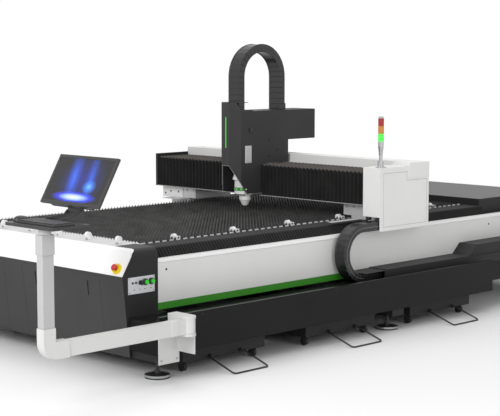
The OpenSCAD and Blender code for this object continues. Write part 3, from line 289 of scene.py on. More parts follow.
paintFaces(nodes["rear_platform"], "darkCoat", lambda n, c: n.z < paint["faces"])
paintFaces(nodes["keyboard_tray"], "shadedPostCoat", lambda n, c: c.z < paint["collarTop"])  # collar under the tray, painted darker as shade
paintFaces(nodes["console_arm"], "shadedPostCoat", lambda n, c: c.z > paint["postFoot"])  # upright post, painted darker than the arm as shade
paintFaces(nodes["cable_trough"], "shadeCoat", lambda n, c: n.x < -paint["faces"])
paintFaces(nodes["corner_covers"], "doorCoat", lambda n, c: n.x < -paint["cornerFaces"])
paintFaces(nodes["gantry_beam"], "darkCoat", lambda n, c: c.y > paint["ribStart"])  # far end rib
for cart in ("cart_1", "cart_2", "cart_3"):
    paintFaces(nodes[cart], "rubber", lambda n, c: c.z < paint["castorTop"])  # castors


# mesh helpers, all in machine millimetres

def addBox(bm, x, y, z, bevel=0.0):
    made = bmesh.ops.create_cube(bm, size=1)["verts"]
    for v in made:
        v.co = spot(x[0] + (v.co.x + 0.5) * (x[1] - x[0]), y[0] + (v.co.y + 0.5) * (y[1] - y[0]),
                    z[0] + (v.co.z + 0.5) * (z[1] - z[0]))
    if bevel:
        edges = {e for v in made for e in v.link_edges}
        bmesh.ops.bevel(bm, geom=list(edges), offset=bevel / 1000, segments=2, profile=0.6, affect="EDGES")


def addTurned(bm, profile, origin, axis, count=32, closed=False):
    axis = Vector(axis).normalized()
    side = axis.orthogonal().normalized()
    other = axis.cross(side)
    rings = []
    for radius, height in profile:
        ring = []
        for i in range(count):
            a = 2 * math.pi * i / count
            p = Vector(origin) + axis * (height / 1000)
            p += (side * math.cos(a) + other * math.sin(a)) * (radius / 1000)
            ring.append(bm.verts.new(p))
        rings.append(ring)
    pairs = list(zip(rings, rings[1:])) + ([(rings[-1], rings[0])] if closed else [])
    for low, high in pairs:
        for i in range(count):
            bm.faces.new((low[i], low[(i + 1) % count], high[(i + 1) % count], high[i]))
    if not closed:
        bm.faces.new(list(reversed(rings[0])))
        bm.faces.new(rings[-1])


def addPlate(bm, outline, push):
    bottom = [bm.verts.new(p) for p in outline]
    top = [bm.verts.new(Vector(p) + Vector(push)) for p in outline]
    count = len(outline)
    bm.faces.new(list(reversed(bottom)))
    bm.faces.new(top)
    for i in range(count):
        bm.faces.new((bottom[i], bottom[(i + 1) % count], top[(i + 1) % count], top[i]))


def addScrew(bm, at, axis, radius, height):
    addTurned(bm, [(radius, 0), (radius, height * 0.7), (radius * 0.8, height), (radius * 0.5, height),
                   (radius * 0.42, height * 0.35)], at, axis, 12)


def addDisc(bm, at, axis, radius, sink=0.5, stand=0.4):
    addTurned(bm, [(radius, -sink), (radius, stand)], at, axis, 20)


def addSweep(bm, rings):
    count = len(rings[0])
    made = [[bm.verts.new(p) for p in ring] for ring in rings]
    for low, high in zip(made, made[1:]):
        for i in range(count):
            bm.faces.new((low[i], low[(i + 1) % count], high[(i + 1) % count], high[i]))
    bm.faces.new(list(reversed(made[0])))
    bm.faces.new(made[-1])


def addBar(bm, a, b, size):
    line = b - a
    side = line.normalized().orthogonal().normalized() * size / 2000
    other = line.normalized().cross(side)
    ring = [side + other, side - other, -side - other, other - side]
    addSweep(bm, [[a + r for r in ring], [b + r for r in ring]])


def makePiece(name, bm, finishName, body=None, stands=(), smooth=None):
    bmesh.ops.recalc_face_normals(bm, faces=bm.faces)
    mesh = bpy.data.meshes.new(name)
    bm.to_mesh(mesh)
    bm.free()
    mesh.materials.append(finishes[finishName])
    piece = bpy.data.objects.new(name, mesh)
    bpy.context.scene.collection.objects.link(piece)
    if smooth:
        mesh.shade_smooth()
        mesh.set_sharp_from_angle(angle=math.radians(smooth))
    if body:
        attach(piece, body)
    if stands:
        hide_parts(*stands)
    return piece


# slat field

slatField = {"first": 295, "pitch": 27.5, "count": 111, "half": 778, "tip": 698, "floor": 578, "thick": 4,
             "teeth": 56, "drop": 18, "steps": 3, "curve": 0.8}


def buildSlats(s):
    points, faces = [], []
    columns = s["teeth"] * s["steps"] + 1
    for i in range(s["count"]):
        x = s["first"] + (i + 1) * s["pitch"]
        start = len(points)
        for k in range(columns):
            y = -s["half"] + 2 * s["half"] * k / (columns - 1)
            share = (k % s["steps"]) / s["steps"]
            top = s["tip"] - s["drop"] * math.sin(math.pi * share) ** s["curve"]
            for dx in (-s["thick"] / 2, s["thick"] / 2):
                points += [spot(x + dx, y, s["floor"]), spot(x + dx, y, top)]
        for k in range(columns - 1):
            a, b = start + 4 * k, start + 4 * k + 4
            faces += [(a, b, b + 1, a + 1), (a + 3, b + 3, b + 2, a + 2), (a + 1, b + 1, b + 3, a + 3),
                      (a + 2, b + 2, b, a)]
        last = start + 4 * (columns - 1)
        faces += [(start, start + 1, start + 3, start + 2), (last + 2, last + 3, last + 1, last)]
    mesh = bpy.data.meshes.new("slatField")
    mesh.from_pydata(points, [], faces)
    mesh.materials.append(finishes["slatSteel"])
    piece = bpy.data.objects.new("slatField", mesh)
    bpy.context.scene.collection.objects.link(piece)
    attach(piece, "base")
    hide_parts("slats")


buildSlats(slatField)

frontComb = {"x": 293.4, "thick": 2, "half": 770, "foot": 662, "root": 687, "tip": 698, "teeth": 56}


def buildFrontComb(s):
    bm = bmesh.new()
    y0, step = -s["half"], 2 * s["half"] / s["teeth"]
    outline = [(s["half"], s["foot"]), (y0, s["foot"])]
    for i in range(s["teeth"]):
        outline += [(y0 + i * step, s["root"]), (y0 + (i + 0.5) * step, s["tip"])]
    outline.append((s["half"], s["root"]))
    addPlate(bm, [spot(s["x"], y, z) for y, z in outline], (s["thick"] / 1000, 0, 0))
    makePiece("frontComb", bm, "combSteel", "base")


buildFrontComb(frontComb)

sideComb = {"first": 295, "pitch": 55, "count": 56, "tab": 30, "y": (-783, -779), "z": (664, 690.5), "bevel": 1.2}


def buildSideComb(s):
    bm = bmesh.new()
    for i in range(s["count"]):  # one pale tab beside each slat of the solids
        x = s["first"] + (i + 0.5) * s["pitch"]
        addBox(bm, (x - s["tab"] / 2, x + s["tab"] / 2), s["y"], s["z"], s["bevel"])
    makePiece("sideComb", bm, "combSteel", "base")


buildSideComb(sideComb)
print("slat field and combs")


# folded covers

def foldRings(start, end, pitch, crest, valley, toPoint, crestSpan=(0.42, 0.58)):
    folds = max(2, round(abs(end - start) / pitch))
    step = (end - start) / folds
    rings = []
    for i in range(folds):
        for share, outline in ((0.0, valley), (crestSpan[0], crest), (crestSpan[1], crest)):
            rings.append([toPoint(start + (i + share) * step, p) for p in outline])
    rings.append([toPoint(end, p) for p in valley])
    return rings


wayCover = {"outer": 998, "inner": 802, "low": 629.6, "near": 687, "far": 662, "depth": 8, "wall": 8,
            "shoulder": 14, "lean": 38, "pitch": 24, "front": (214.4, 2135.6), "rear": (3389.6, 2500.4),
            "roll": 4, "skirt": 5, "dip": 1.2, "dipBack": 2, "dipRoll": 7, "dipIn": 0.7, "hold": 4}


def buildWayCover(s, name, span, farTop, stands):
    o, i, z0, d, w = s["outer"], s["inner"], s["low"], s["depth"], s["wall"]
    skirt = z0 + s["skirt"]
    bm = bmesh.new()
    for side, z1 in ((-1, s["near"]), (1, farTop)):
        lean = s["lean"] * (z1 - z0) / (s["near"] - z0)  # the outer side slopes, the top is nearly flat
        top = o - lean
        shoulder = top - s["shoulder"]
        inside = [(o - d - w, z0), (top - d - w, z1 - d - w), (i, z1 - d - w)]
        crest = [(i, z1), (shoulder, z1), (top, z1 - s["roll"]), (o, skirt), (o, z0)] + inside
        valley = [(i, z1 - s["dip"]), (shoulder - s["dipBack"], z1 - s["dip"]),
                  (top - d * s["dipIn"], z1 - s["dipRoll"]), (o - d, skirt), (o - d, z0)] + inside
        addSweep(bm, foldRings(span[0], span[1], s["pitch"], crest, valley,
                               lambda x, p: spot(x, side * p[0], p[1])))
    piece = makePiece(name, bm, "pleatCloth", stands=stands)
    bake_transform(piece)


buildWayCover(wayCover, "wayCoverFront", wayCover["front"], wayCover["far"], ["way_pleats_front"])
buildWayCover(wayCover, "wayCoverRear", wayCover["rear"], wayCover["near"], ["way_pleats_rear"])

beamCover = {"front": 2076, "back": 2386.6, "low": 788.4, "high": 1009, "depth": 13, "wall": 6, "pitch": 36,
             "near": (-1002.6, -5.4), "far": (1084.6, 207.4), "hem": 4.6, "hemOut": 2, "hemIn": 4, "steps": 30,
             "topFaces": 0.5, "hold": 4}


def buildBeamCover(s, name, span):
    x0, x1, z0, z1, d = s["front"], s["back"], s["low"], s["high"], s["depth"]
    w = d + s["wall"]
    inside = [(x1, z1 - w), (x0 + w, z1 - w), (x0 + w, z0)]
    crest = [(x0, z0), (x0, z1), (x1, z1)] + inside
    valley = [(x0 + d, z0), (x0 + d, z1 - d), (x1, z1 - d)] + inside
    bm = bmesh.new()
    addSweep(bm, foldRings(span[0], span[1], s["pitch"], crest, valley, lambda y, p: spot(p[0], y, p[1])))
    piece = makePiece(name, bm, "pleatCloth", stands=["beam_pleats"])
    # upward faces of the folds get the lighter cloth as painted light from above
    paintFaces(piece, "pleatTopLit", lambda n, c: n.z > s["topFaces"])
    bm = bmesh.new()  # pale hem under the folds
    front, back, top = x0 - s["hemOut"], x0 + s["hemIn"], z0 + s["hem"]
    hem = [(front, z0), (back, z0), (back, top), (front, top)]
    addSweep(bm, [[spot(x, span[0] + (span[1] - span[0]) * k / s["steps"], z) for x, z in hem]
                  for k in range(s["steps"] + 1)])
    hemPiece = makePiece(name + "Hem", bm, "seamGrey")
    for each in (piece, hemPiece):
        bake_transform(each)


buildBeamCover(beamCover, "beamCoverNear", beamCover["near"])
buildBeamCover(beamCover, "beamCoverFar", beamCover["far"])
print("folded covers")


# drag chains

chainForm = {"corner": 2, "rail": 9, "groove": 11, "dip": 3, "seam": 1.6, "seamShare": 0.05, "smooth": 35}


def chainSection(width, thick, shrink, form=chainForm):
    w, t = width / 2 - shrink, thick / 2 - shrink
    corner, rail, groove, dip = form["corner"], form["rail"], form["groove"], form["dip"]
    upper = [(w, corner), (w - corner, 0), (w - rail, 0), (w - groove, dip)]  # from the side in, depth under the top
    left = [(-across, t - depth) for across, depth in upper]
    right = [(across, t - depth) for across, depth in reversed(upper)]
    under = [(across, depth - t) for across, depth in upper]
    underLeft = [(-across, depth - t) for across, depth in reversed(upper)]
    return underLeft[-1:] + left + right + under + underLeft[:-1]


def addChain(bm, path, y, width, thick, form=chainForm):
    full, slim = chainSection(width, thick, 0), chainSection(width, thick, form["seam"])
    rings = []
    for x, z, nx, nz, atSeam in path:
        section = slim if atSeam else full
        rings.append([spot(x + nx * h, y + across, z + nz * h) for across, h in section])
    addSweep(bm, rings)


def straightPath(start, end, normal, pitch, form=chainForm):
    length = math.hypot(end[0] - start[0], end[1] - start[1])
    count = max(1, round(length / pitch))
    near = form["seamShare"]
    path = []
    for i in range(count):
        for share, atSeam in ((0, True), (near, False), (1 - near, False)):
            u = (i + share) / count
            x, z = (a + (b - a) * u for a, b in zip(start, end))
            path.append((x, z, *normal, atSeam))
    return path


def turnPath(centre, radius, a0, a1, pitch, form=chainForm):
    count = max(1, round(abs(a1 - a0) * radius / pitch))
    near = form["seamShare"]
    path = []
    for i in range(count):
        for share, atSeam in ((0, True), (near, False), (0.5, False), (1 - near, False)):
            a = a0 + (a1 - a0) * (i + share) / count
            nx, nz = math.cos(a), math.sin(a)
            path.append((centre[0] + radius * nx, centre[1] + radius * nz, nx, nz, atSeam))
    return path


sideChain = {"y": -1102.1, "width": 86, "thick": 54, "low": 349.3, "radius": 162, "turnX": 1866, "far": 2900,
             "end": 2191, "pitch": 34, "rim": 1.5, "rimOut": 0.8, "rimIn": 0.5, "hold": 8}


def buildSideChain(s):
    bm = bmesh.new()
    path = straightPath((s["far"], s["low"]), (s["turnX"], s["low"]), (0, -1), s["pitch"])
    path.append((s["turnX"], s["low"], 0, -1, True))
    addChain(bm, path, s["y"], s["width"], s["thick"])
    smooth = chainForm["smooth"]
    lower = makePiece("sideChainLower", bm, "chainPlastic", stands=["side_chain"], smooth=smooth)
    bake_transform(lower)
    bm = bmesh.new()
    top = s["low"] + 2 * s["radius"]
    path = turnPath((s["turnX"], s["low"] + s["radius"]), s["radius"], -math.pi / 2, -3 * math.pi / 2, s["pitch"])
    path += straightPath((s["turnX"], top), (s["end"], top), (0, 1), s["pitch"])
    path.append((s["end"], top, 0, 1, True))
    addChain(bm, path, s["y"], s["width"], s["thick"])
    makePiece("sideChainLoop", bm, "chainPlastic", "gantry", ["side_chain"], smooth=smooth)
    bm = bmesh.new()  # pale line along the links' near side, a painted highlight on the links' edge
    outer, inner = -s["width"] / 2 - s["rimOut"], -s["width"] / 2 + s["rimIn"]
    line = [(outer, s["rim"]), (outer, -s["rim"]), (inner, -s["rim"]), (inner, s["rim"])]
    addSweep(bm, [[spot(x + nx * h, s["y"] + across, z + nz * h) for across, h in line]
                  for x, z, nx, nz, atSeam in path])
    makePiece("chainRimHighlight", bm, "chainRimHighlight", "gantry", smooth=smooth)


buildSideChain(sideChain)

archChain = {"x": 1945, "span": 405, "y": 101, "width": 107, "thick": 57, "foot": 1331, "rearFoot": 1385,
             "turnZ": 1619, "pitch": 40}


def buildArchChain(s):
    bm = bmesh.new()
    r, rearX = s["span"] / 2, s["x"] + s["span"]
    path = straightPath((s["x"], s["foot"]), (s["x"], s["turnZ"]), (-1, 0), s["pitch"])
    path += turnPath((s["x"] + r, s["turnZ"]), r, math.pi, 0, s["pitch"])
    path += straightPath((rearX, s["turnZ"]), (rearX, s["rearFoot"]), (1, 0), s["pitch"])
    path.append((rearX, s["rearFoot"], 1, 0, True))
    addChain(bm, path, s["y"], s["width"], s["thick"])
    makePiece("archChain", bm, "chainPlastic", "head", ["arch_chain"], smooth=chainForm["smooth"])


buildArchChain(archChain)

channelLid = {"y": (-1187, -1033), "strips": [((1835, 3060), (384.3, 386.3)), ((2050, 2935), (386.3, 391))],
              "steps": 30, "hold": 4, "blendY": -1110, "blendZ": 385}


def buildChannelLid(s):
    bm = bmesh.new()
    for (near, far), (z0, z1) in s["strips"]:
        section = [(s["y"][0], z0), (s["y"][1], z0), (s["y"][1], z1), (s["y"][0], z1)]
        addSweep(bm, [[spot(far + (near - far) * k / s["steps"], y, z) for y, z in section]
                      for k in range(s["steps"] + 1)])
    lid = makePiece("channelLid", bm, "darkCoat")
    near, far = s["strips"][0][0]
    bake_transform(lid)


buildChannelLid(channelLid)
print("drag chains")


# console

keyBoard = {"x": (-891, -761), "y": (-1535, -1229), "z": 950, "base": 10, "rows": 5, "columns": 15, "gap": 2.4,
            "rise": 6, "sink": 1, "marginX": 8, "marginY": 7, "bar": (4, 6), "bevel": 3, "keyBevel": 1.6}


def buildKeyboard(s):
    bm = bmesh.new()
    top = s["z"] + s["base"]
    addBox(bm, s["x"], s["y"], (s["z"], top), s["bevel"])
    x0, y0 = s["x"][0] + s["marginX"], s["y"][0] + s["marginY"]
    rowStep = (s["x"][1] - s["x"][0] - 2 * s["marginX"]) / s["rows"]
    keyStep = (s["y"][1] - s["y"][0] - 2 * s["marginY"]) / s["columns"]
    half = s["gap"] / 2
    barAt, barWide = s["bar"]
    for row in range(s["rows"]):
        keys = [(c, 1) for c in range(s["columns"])]
        if row == 0:  # long bar in the row nearest the user
            keys = sorted([k for k in keys if not barAt <= k[0] < barAt + barWide] + [s["bar"]])
        for column, wide in keys:
            x, y = x0 + row * rowStep, y0 + column * keyStep
            addBox(bm, (x + half, x + rowStep - half), (y + half, y + wide * keyStep - half),
                   (top - s["sink"], top + s["rise"]), s["keyBevel"])
    makePiece("keyField", bm, "keyPlastic", "console", ["keyboard"])


buildKeyboard(keyBoard)

pointer = {"x": -831, "y": -1195, "z": 950, "length": 96, "width": 52, "height": 28, "rows": 14, "ring": 28,
           "fall": 2.6, "square": 0.75, "cap": 0.12, "lean": 0.22, "smooth": 50}


def buildMouse(s):
    bm = bmesh.new()
    rings = []
    for r in range(s["rows"]):
        u = r / (s["rows"] - 1)
        shrink = max(s["cap"], math.sqrt(1 - u ** s["fall"]))
        ring = []
        for i in range(s["ring"]):
            a = 2 * math.pi * i / s["ring"]
            cx, cy = math.cos(a), math.sin(a)
            ex = math.copysign(abs(cx) ** s["square"], cx) * s["length"] / 2 * shrink
            ey = math.copysign(abs(cy) ** s["square"], cy) * s["width"] / 2 * shrink
            lean = 1 - s["lean"] * (ex / (s["length"] / 2)) * u
            ring.append(spot(s["x"] + ex, s["y"] + ey, s["z"] + s["height"] * u * lean))
        rings.append(ring)
    addSweep(bm, rings)
    makePiece("pointerShell", bm, "blackPlastic", "console", ["mouse"], smooth=s["smooth"])


buildMouse(pointer)


# signal tower

tower = {"x": 2061, "y": -1114, "foot": 1218, "lamp": 50, "radius": 18.5, "ribs": 40, "groove": 0.965,
         "profile": [(0, 0.94), (1, 1.0), (47, 1.0), (48.5, 0.93), (50, 0.93)],
         "finish": ["lampGreen", "lampAmber", "lampRed"]}


def buildTower(s):
    for i, finishName in enumerate(s["finish"]):
        bm = bmesh.new()
        z = s["foot"] + i * s["lamp"]
        rings = []
        for h, r in s["profile"]:
            ring = []
            for k in range(2 * s["ribs"]):
                a = math.pi * k / s["ribs"]
                rr = s["radius"] * r * (1 if k % 2 else s["groove"])
                ring.append(spot(s["x"] + rr * math.cos(a), s["y"] + rr * math.sin(a), z + h))
            rings.append(ring)
        addSweep(bm, rings)
        makePiece("lamp_" + finishName[4:], bm, finishName, "gantry", ["signal_lamps"])


buildTower(tower)
print("console and signal tower")


# controls on the near corner

controls = {"face": -1035, "row": 516, "buttons": (114, 159), "sockets": (24, 48),
            "sleeve": [(16.1, 0.2), (18.5, 0.2), (18.5, 12), (17, 14.8), (12.5, 14.8), (12.5, 14.1), (16.1, 14.1)],
            "socket": [(6.8, 0.2), (6.8, 2), (5.4, 2.6), (4.2, 2.6), (4.0, 0.4)],
            "plateX": (-7, 186), "plateZ": (454, 548), "inset": 8, "screw": (4.2, 2.2),
            "marks": (36, 77, 114, 159), "markHalf": 6, "markZ": (475, 478.5), "markOut": 0.5, "markIn": 0.2}


def buildControls(s):
    toUser = (0, -1, 0)
    bm = bmesh.new()
    for x in s["buttons"]:  # black sleeves round the push buttons
        addTurned(bm, s["sleeve"], spot(x, s["face"], s["row"]), toUser, 36, closed=True)
    for x in s["sockets"]:
        addTurned(bm, s["socket"], spot(x, s["face"], s["row"]), toUser, 20)
    makePiece("buttonSleeves", bm, "blackPlastic", "base")
    bm = bmesh.new()
    for x in (s["plateX"][0] + s["inset"], s["plateX"][1] - s["inset"]):
        for z in (s["plateZ"][0] + s["inset"], s["plateZ"][1] - s["inset"]):
            addScrew(bm, spot(x, s["face"], z), toUser, *s["screw"])
    makePiece("plateScrews", bm, "railSteel", "base")
    bm = bmesh.new()
    for x in s["marks"]:  # blank marks under the controls
        addBox(bm, (x - s["markHalf"], x + s["markHalf"]), (s["face"] - s["markOut"], s["face"] + s["markIn"]),
               s["markZ"])
    makePiece("plateMarks", bm, "markGrey", "base")


buildControls(controls)


# small holes

smallHoles = {"side": [(277, 568), (3376, 563)], "sideY": 1032, "sideRadius": 7,
              "trough": [(320, 338), (1444, 338), (1733, 338)], "troughY": -1286, "troughRadius": 6,
              "head": [(2161, 1178), (2247, 1104), (2161, 1061)], "headY": -5, "headRadius": 8.5}


def buildHoles(s):
    bm = bmesh.new()
    for x, z in s["side"]:
        for side in (-1, 1):
            addDisc(bm, spot(x, side * s["sideY"], z), (0, side, 0), s["sideRadius"])
    for x, z in s["trough"]:
        addDisc(bm, spot(x, s["troughY"], z), (0, -1, 0), s["troughRadius"])
    makePiece("bedHoles", bm, "holeDark", "base")
    bm = bmesh.new()
    for x, z in s["head"]:
        addDisc(bm, spot(x, s["headY"], z), (0, -1, 0), s["headRadius"])
    makePiece("headHoles", bm, "holeDark", "head")


buildHoles(smallHoles)


# head trim

headTrim = {"front": 1886, "near": -5, "far": 207, "fold": 115.84, "facet": 15, "low": 809,
            "plate": ((1924, 1987), (1023, 1144)), "inset": 8, "plateOut": 2.5, "innerOut": 3.6, "bevel": 1,
            "latch": ((1967, 1990), (1240, 1270)), "latchOut": 8, "latchBevel": 2,
            "bar": 1.7, "barOut": 0.8, "sill": 879, "lintel": 999, "windowFar": 193, "footX": 1944}


def buildHeadTrim(s):
    near = s["near"]
    bm = bmesh.new()
    addBox(bm, s["plate"][0], (near - s["plateOut"], near), s["plate"][1], s["bevel"])
    inner = [(side[0] + s["inset"], side[1] - s["inset"]) for side in s["plate"]]
    addBox(bm, inner[0], (near - s["innerOut"], near), inner[1], s["bevel"])
    makePiece("headPlate", bm, "lightSteel", "head")
    bm = bmesh.new()
    addBox(bm, s["latch"][0], (near - s["latchOut"], near), s["latch"][1], s["latchBevel"])
    makePiece("headLatch", bm, "blackPlastic", "head")
    bm = bmesh.new()  # pale line round the window of the front cover
    x, y = s["front"] - s["barOut"], near - s["barOut"]
    farX = x + s["facet"] * (s["windowFar"] - s["fold"]) / (s["far"] - s["fold"])
    corners = [spot(x, y, s["sill"]), spot(x, s["fold"], s["lintel"]), spot(farX, s["windowFar"], s["lintel"]),
               spot(farX, s["windowFar"], s["low"])]
    for a, b in zip(corners, corners[1:]):
        addBar(bm, a, b, s["bar"])
    addBar(bm, corners[0], spot(s["footX"], y, s["low"]), s["bar"])
    makePiece("windowTrim", bm, "seamGrey", "head")


buildHeadTrim(headTrim)


# gantry trim

endBoxTrim = {"face": -1154, "seam": 1.8,
              "panel": [(2045, 1012), (2284, 1012), (2284, 955), (2492, 955), (2492, 664), (2045, 664)],
              "screwX": 2136, "screwY": (985, 905, 825, 755), "screwZ": 766, "screw": (7, 5),
              "buffers": [((2013, 2050), (-1150, -1112)), ((2013, 2040), (-1060, -1030))], "bufferZ": (704, 730),
              "bufferBevel": 3}


def buildEndBoxTrim(s):
    bm = bmesh.new()
    corners = [spot(x, s["face"], z) for x, z in s["panel"]]
    for a, b in zip(corners, corners[1:] + corners[:1]):
        addBar(bm, a, b, s["seam"])
    makePiece("panelSeam", bm, "seamGrey", "gantry")
    bm = bmesh.new()
    for y in s["screwY"]:
        for side in (-1, 1):
            addScrew(bm, spot(s["screwX"], side * y, s["screwZ"]), (-1, 0, 0), *s["screw"])
    makePiece("gantryScrews", bm, "railSteel", "gantry")
    bm = bmesh.new()
    for x, y in s["buffers"]:
        addBox(bm, x, y, s["bufferZ"], s["bufferBevel"])
    makePiece("stopBuffers", bm, "rubber", "gantry")


buildEndBoxTrim(endBoxTrim)

wiperPlates = {"near": ((1747, 2060), (-978, -935)), "far": ((2020, 2136), (800, 978)), "z": (704, 707), "bevel": 1}


def buildWipers(s):
    bm = bmesh.new()
    for side in ("near", "far"):
        addBox(bm, *s[side], s["z"], s["bevel"])
    makePiece("wiperPlates", bm, "lightSteel", "gantry", ["way_wipers"])


buildWipers(wiperPlates)

farTrim = {"leg": ((2130, 2136), (869, 1091), (702, 788)), "legBevel": 1.5,
           "holes": [(915, 748), (1000, 748), (1060, 730)], "holeRadius": 8,
           "plate": ((2076, 2516), (1091.2, 1111), (788, 1030)), "plateBevel": 2}


def buildFarTrim(s):
    bm = bmesh.new()
    addBox(bm, *s["leg"], s["legBevel"])
    makePiece("farLegPlate", bm, "whiteCoat", "gantry")
    bm = bmesh.new()
    for y, z in s["holes"]:
        addDisc(bm, spot(s["leg"][0][0], y, z), (-1, 0, 0), s["holeRadius"])
    makePiece("legHoles", bm, "holeDark", "gantry")
    bm = bmesh.new()
    addBox(bm, *s["plate"], s["plateBevel"])
    makePiece("farEndPlate", bm, "darkCoat", "gantry", ["far_end_cover"])


buildFarTrim(farTrim)


# cutting head

cutterTrim = {"x": 1981, "y": 53, "tip": 716, "count": 64, "maxX": 2003, "minY": 4, "slack": 0.6,
              "shell": [(64, 800), (74, 806), (74, 903), (87, 905), (87, 913), (83, 920), (62, 985)],
              "ring": [(73, 828), (76.5, 829), (76.5, 851), (73, 852)],
              "cone": [(11, 3), (20, 8), (24, 16), (37, 44), (40, 47), (40, 84.2)],
              "jet": [(2.6, -0.2), (5, -0.4), (9.4, 0.2), (14.6, 16.4), (14.6, 20), (13, 20)],
              "light": [(4.6, -1), (4.6, 0.8), (3.6, 1.4)], "lights": 5, "lightFrom": 120, "lightStep": 28,
              "lightOut": 76.5, "lightUp": 124, "smooth": 35, "coneSmooth": 18}


def clippedRings(s, profile, slack=0.0):
    rings = []
    for radius, z in profile:
        ring = []
        for i in range(s["count"]):
            a = 2 * math.pi * i / s["count"]
            ring.append(spot(min(s["x"] + radius * math.cos(a), s["maxX"] - slack),
                             max(s["y"] + radius * math.sin(a), s["minY"] + slack), z))
        rings.append(ring)
    return rings


def buildCutter(s):
    at, up = spot(s["x"], s["y"], s["tip"]), Vector((0, 0, 1))
    bm = bmesh.new()
    addSweep(bm, clippedRings(s, s["shell"], s["slack"]))
    makePiece("cutterShell", bm, "whiteCoat", "cutter", smooth=s["smooth"])
    bm = bmesh.new()
    addSweep(bm, clippedRings(s, s["ring"]))
    makePiece("ringBand", bm, "ringGreen", "cutter", ["sensor_ring"], smooth=s["smooth"])
    bm = bmesh.new()
    addTurned(bm, s["cone"], at, up, 40)
    makePiece("nozzleCone", bm, "whiteCoat", "cutter", ["nozzle"], smooth=s["coneSmooth"])
    bm = bmesh.new()
    addTurned(bm, s["jet"], at, up, 28)
    makePiece("nozzleTip", bm, "copper", "cutter")
    bm = bmesh.new()
    for i in range(s["lights"]):  # lights set in the ring
        a = math.radians(s["lightFrom"] + s["lightStep"] * i)
        out = Vector((math.cos(a), math.sin(a), 0))
        addTurned(bm, s["light"], at + out * s["lightOut"] / 1000 + up * s["lightUp"] / 1000, out, 14)
    makePiece("ringLights", bm, "rollerPlastic", "cutter")


buildCutter(cutterTrim)


# bed trim

bedTrim = {"footX": (76, 2064, 4052), "footY": (-1178, 928), "band": [(70.2, 8), (71.3, 8), (71.3, 20), (70.2, 20)],
           "bandSmooth": 40, "lipX": (214.5, 4275.5),
           "lip": [(1031.5, 609), (1037, 613), (1032.4, 632.8), (1031.5, 632.8)],
           "doorY": (96, 826), "doorZ": (109, 544), "doorFaces": 0.5, "gap": 5, "sink": 3}


def onDoor(s, y, z):
    doors = (f for f in nodes["service_panels"].data.polygons if f.normal.x < -s["doorFaces"])
    face = max(doors, key=lambda f: f.area)
    p = spot(0, y, z)
    p.x = face.center.x - face.normal.z * (p.z - face.center.z) / face.normal.x + s["sink"] / 1000
    return p


def buildBedTrim(s):
    bm = bmesh.new()
    for x in s["footX"]:
        for y in s["footY"]:
            addTurned(bm, s["band"], spot(x, y, 0), (0, 0, 1), 48, closed=True)
    makePiece("footBands", bm, "railSteel", "base", smooth=s["bandSmooth"])
    bm = bmesh.new()
    for side in (-1, 1):  # bent lip along the top of the side panels, in the brighter fascia white as a painted highlight on the lip
        addSweep(bm, [[spot(x, side * y, z) for y, z in s["lip"]] for x in s["lipX"]])
    makePiece("panelLips", bm, "fasciaCoat", "base")
    bm = bmesh.new()
    for side in (-1, 1):  # dark gap round each service panel
        (y0, y1), (z0, z1) = s["doorY"], s["doorZ"]
        corners = [onDoor(s, side * y, z) for y, z in ((y0, z0), (y1, z0), (y1, z1), (y0, z1))]
        for a, b in zip(corners, corners[1:] + corners[:1]):
            addBar(bm, a, b, s["gap"])
    makePiece("doorGaps", bm, "holeDark", "base")


buildBedTrim(bedTrim)

bracketTrim = {"block": ((121.5, 132), (-1430, -1286), (160, 372)), "blockBevel": 3,
               "sleeve": ((-62, -14), (-1458, -1402.4), (283, 367)), "sleeveBevel": 4,
               "screws": [(6, 120), (120, 120), (6, 282), (120, 282)], "face": -1292, "screw": (6.5, 4)}


def buildBracketTrim(s):
    bm = bmesh.new()
    addBox(bm, *s["block"], s["blockBevel"])
    makePiece("bracketBlock", bm, "armCoat", "base")
    bm = bmesh.new()
    for x, z in s["screws"]:
        addScrew(bm, spot(x, s["face"], z), (0, -1, 0), *s["screw"])
    makePiece("bracketScrews", bm, "railSteel", "base")
    bm = bmesh.new()
    addBox(bm, *s["sleeve"], s["sleeveBevel"])
    makePiece("armSleeve", bm, "armCoat", "swing_arm")


buildBracketTrim(bracketTrim)
print("trim")


# floor, light and camera

studio = {"floor": 60.0, "floorTone": (0.86, 0.86, 0.86, 1), "floorRough": 0.55, "fade": (2.2, 5.2), "sky": 0.5,
          "white": (1, 1, 1, 1), "lamps": [("keyLamp", 390, (-7.5, -2.5, 4.2), (0, 0, 0.6), 4.0),
                                           ("fillLamp", 115, (-1.5, -8.0, 3.0), (0, 0, 0.6), 4.0),
                                           ("topLamp", 150, (0.5, 0.5, 6.5), (0, 0, 0), 5.0)]}


def seenRays(tree):
    rays = addNode(tree, "ShaderNodeLightPath")  # what the camera sees, straight, mirrored or through glass
    seen = addNode(tree, "ShaderNodeMath", operation="MAXIMUM")
    tree.links.new(rays.outputs["Is Camera Ray"], seen.inputs[0])
    tree.links.new(rays.outputs["Is Glossy Ray"], seen.inputs[1])
    shown = addNode(tree, "ShaderNodeMath", operation="MAXIMUM")
    tree.links.new(seen.outputs["Value"], shown.inputs[0])
    tree.links.new(rays.outputs["Is Transmission Ray"], shown.inputs[1])
    return shown.outputs["Value"]


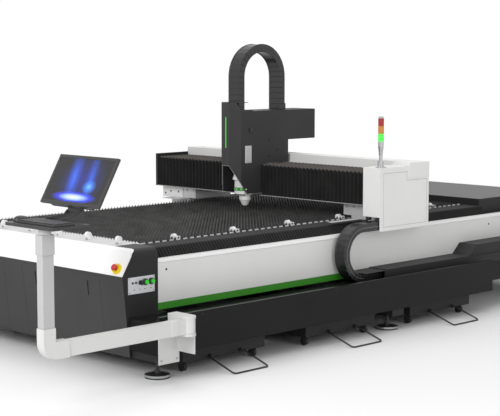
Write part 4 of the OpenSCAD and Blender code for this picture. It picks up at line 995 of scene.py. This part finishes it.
def buildFloor(s):
    mesh = bpy.data.meshes.new("floor")
    half = s["floor"]
    mesh.from_pydata([(-half, -half, 0), (half, -half, 0), (half, half, 0), (-half, half, 0)], [], [(0, 1, 2, 3)])
    floor = bpy.data.objects.new("floor", mesh)
    bpy.context.scene.collection.objects.link(floor)
    mat = bpy.data.materials.new("paleFloor")
    mat.use_nodes = True
    tree = mat.node_tree
    link = tree.links.new
    shader = tree.nodes["Principled BSDF"]
    shader.inputs["Base Color"].default_value = s["floorTone"]
    shader.inputs["Roughness"].default_value = s["floorRough"]
    white = addNode(tree, "ShaderNodeEmission")
    mix = addNode(tree, "ShaderNodeMixShader")
    coord = addNode(tree, "ShaderNodeTexCoord")
    reach = addNode(tree, "ShaderNodeVectorMath", operation="LENGTH")
    link(coord.outputs["Object"], reach.inputs[0])
    fade = addNode(tree, "ShaderNodeMapRange", interpolation_type="SMOOTHSTEP")  # into the white background
    fade.inputs["From Min"].default_value, fade.inputs["From Max"].default_value = s["fade"]
    link(reach.outputs["Value"], fade.inputs["Value"])
    amount = addNode(tree, "ShaderNodeMath", operation="MULTIPLY")
    link(fade.outputs["Result"], amount.inputs[0])
    link(seenRays(tree), amount.inputs[1])
    link(amount.outputs["Value"], mix.inputs["Fac"])
    link(shader.outputs["BSDF"], mix.inputs[1])
    link(white.outputs["Emission"], mix.inputs[2])
    link(mix.outputs["Shader"], tree.nodes["Material Output"].inputs["Surface"])
    mesh.materials.append(mat)


def buildLight(s):
    world = bpy.data.worlds.new("studio")
    bpy.context.scene.world = world
    world.use_nodes = True
    tree = world.node_tree
    link = tree.links.new
    back = tree.nodes["Background"]
    back.inputs["Color"].default_value = s["white"]
    back.inputs["Strength"].default_value = s["sky"]
    bright = addNode(tree, "ShaderNodeBackground")
    bright.inputs["Color"].default_value = s["white"]
    bright.inputs["Strength"].default_value = 1
    mix = addNode(tree, "ShaderNodeMixShader")
    link(seenRays(tree), mix.inputs["Fac"])
    link(back.outputs["Background"], mix.inputs[1])
    link(bright.outputs["Background"], mix.inputs[2])
    link(mix.outputs["Shader"], tree.nodes["World Output"].inputs["Surface"])
    for name, power, place, target, size in s["lamps"]:
        lamp = bpy.data.lights.new(name, "AREA")
        lamp.energy = power
        lamp.size = size
        holder = bpy.data.objects.new(name, lamp)
        bpy.context.scene.collection.objects.link(holder)
        holder.location = place
        holder.rotation_euler = (Vector(target) - Vector(place)).to_track_quat("-Z", "Y").to_euler()


buildFloor(studio)
buildLight(studio)

viewPoint = {"place": (-6.7035, -6.7885, 1.790), "turn": (83.757, 0, -44.945), "lens": 102.37, "sensor": 36,
             "clip": 200}


def buildCamera(s):
    camera = bpy.data.cameras.new("camera")
    camera.lens = s["lens"]
    camera.sensor_width = s["sensor"]
    camera.clip_end = s["clip"]
    holder = bpy.data.objects.new("camera", camera)
    bpy.context.scene.collection.objects.link(holder)
    holder.location = s["place"]
    holder.rotation_euler = [math.radians(a) for a in s["turn"]]
    bpy.context.scene.camera = holder


buildCamera(viewPoint)
bpy.context.scene.view_settings.view_transform = "Standard"
print("studio and camera")
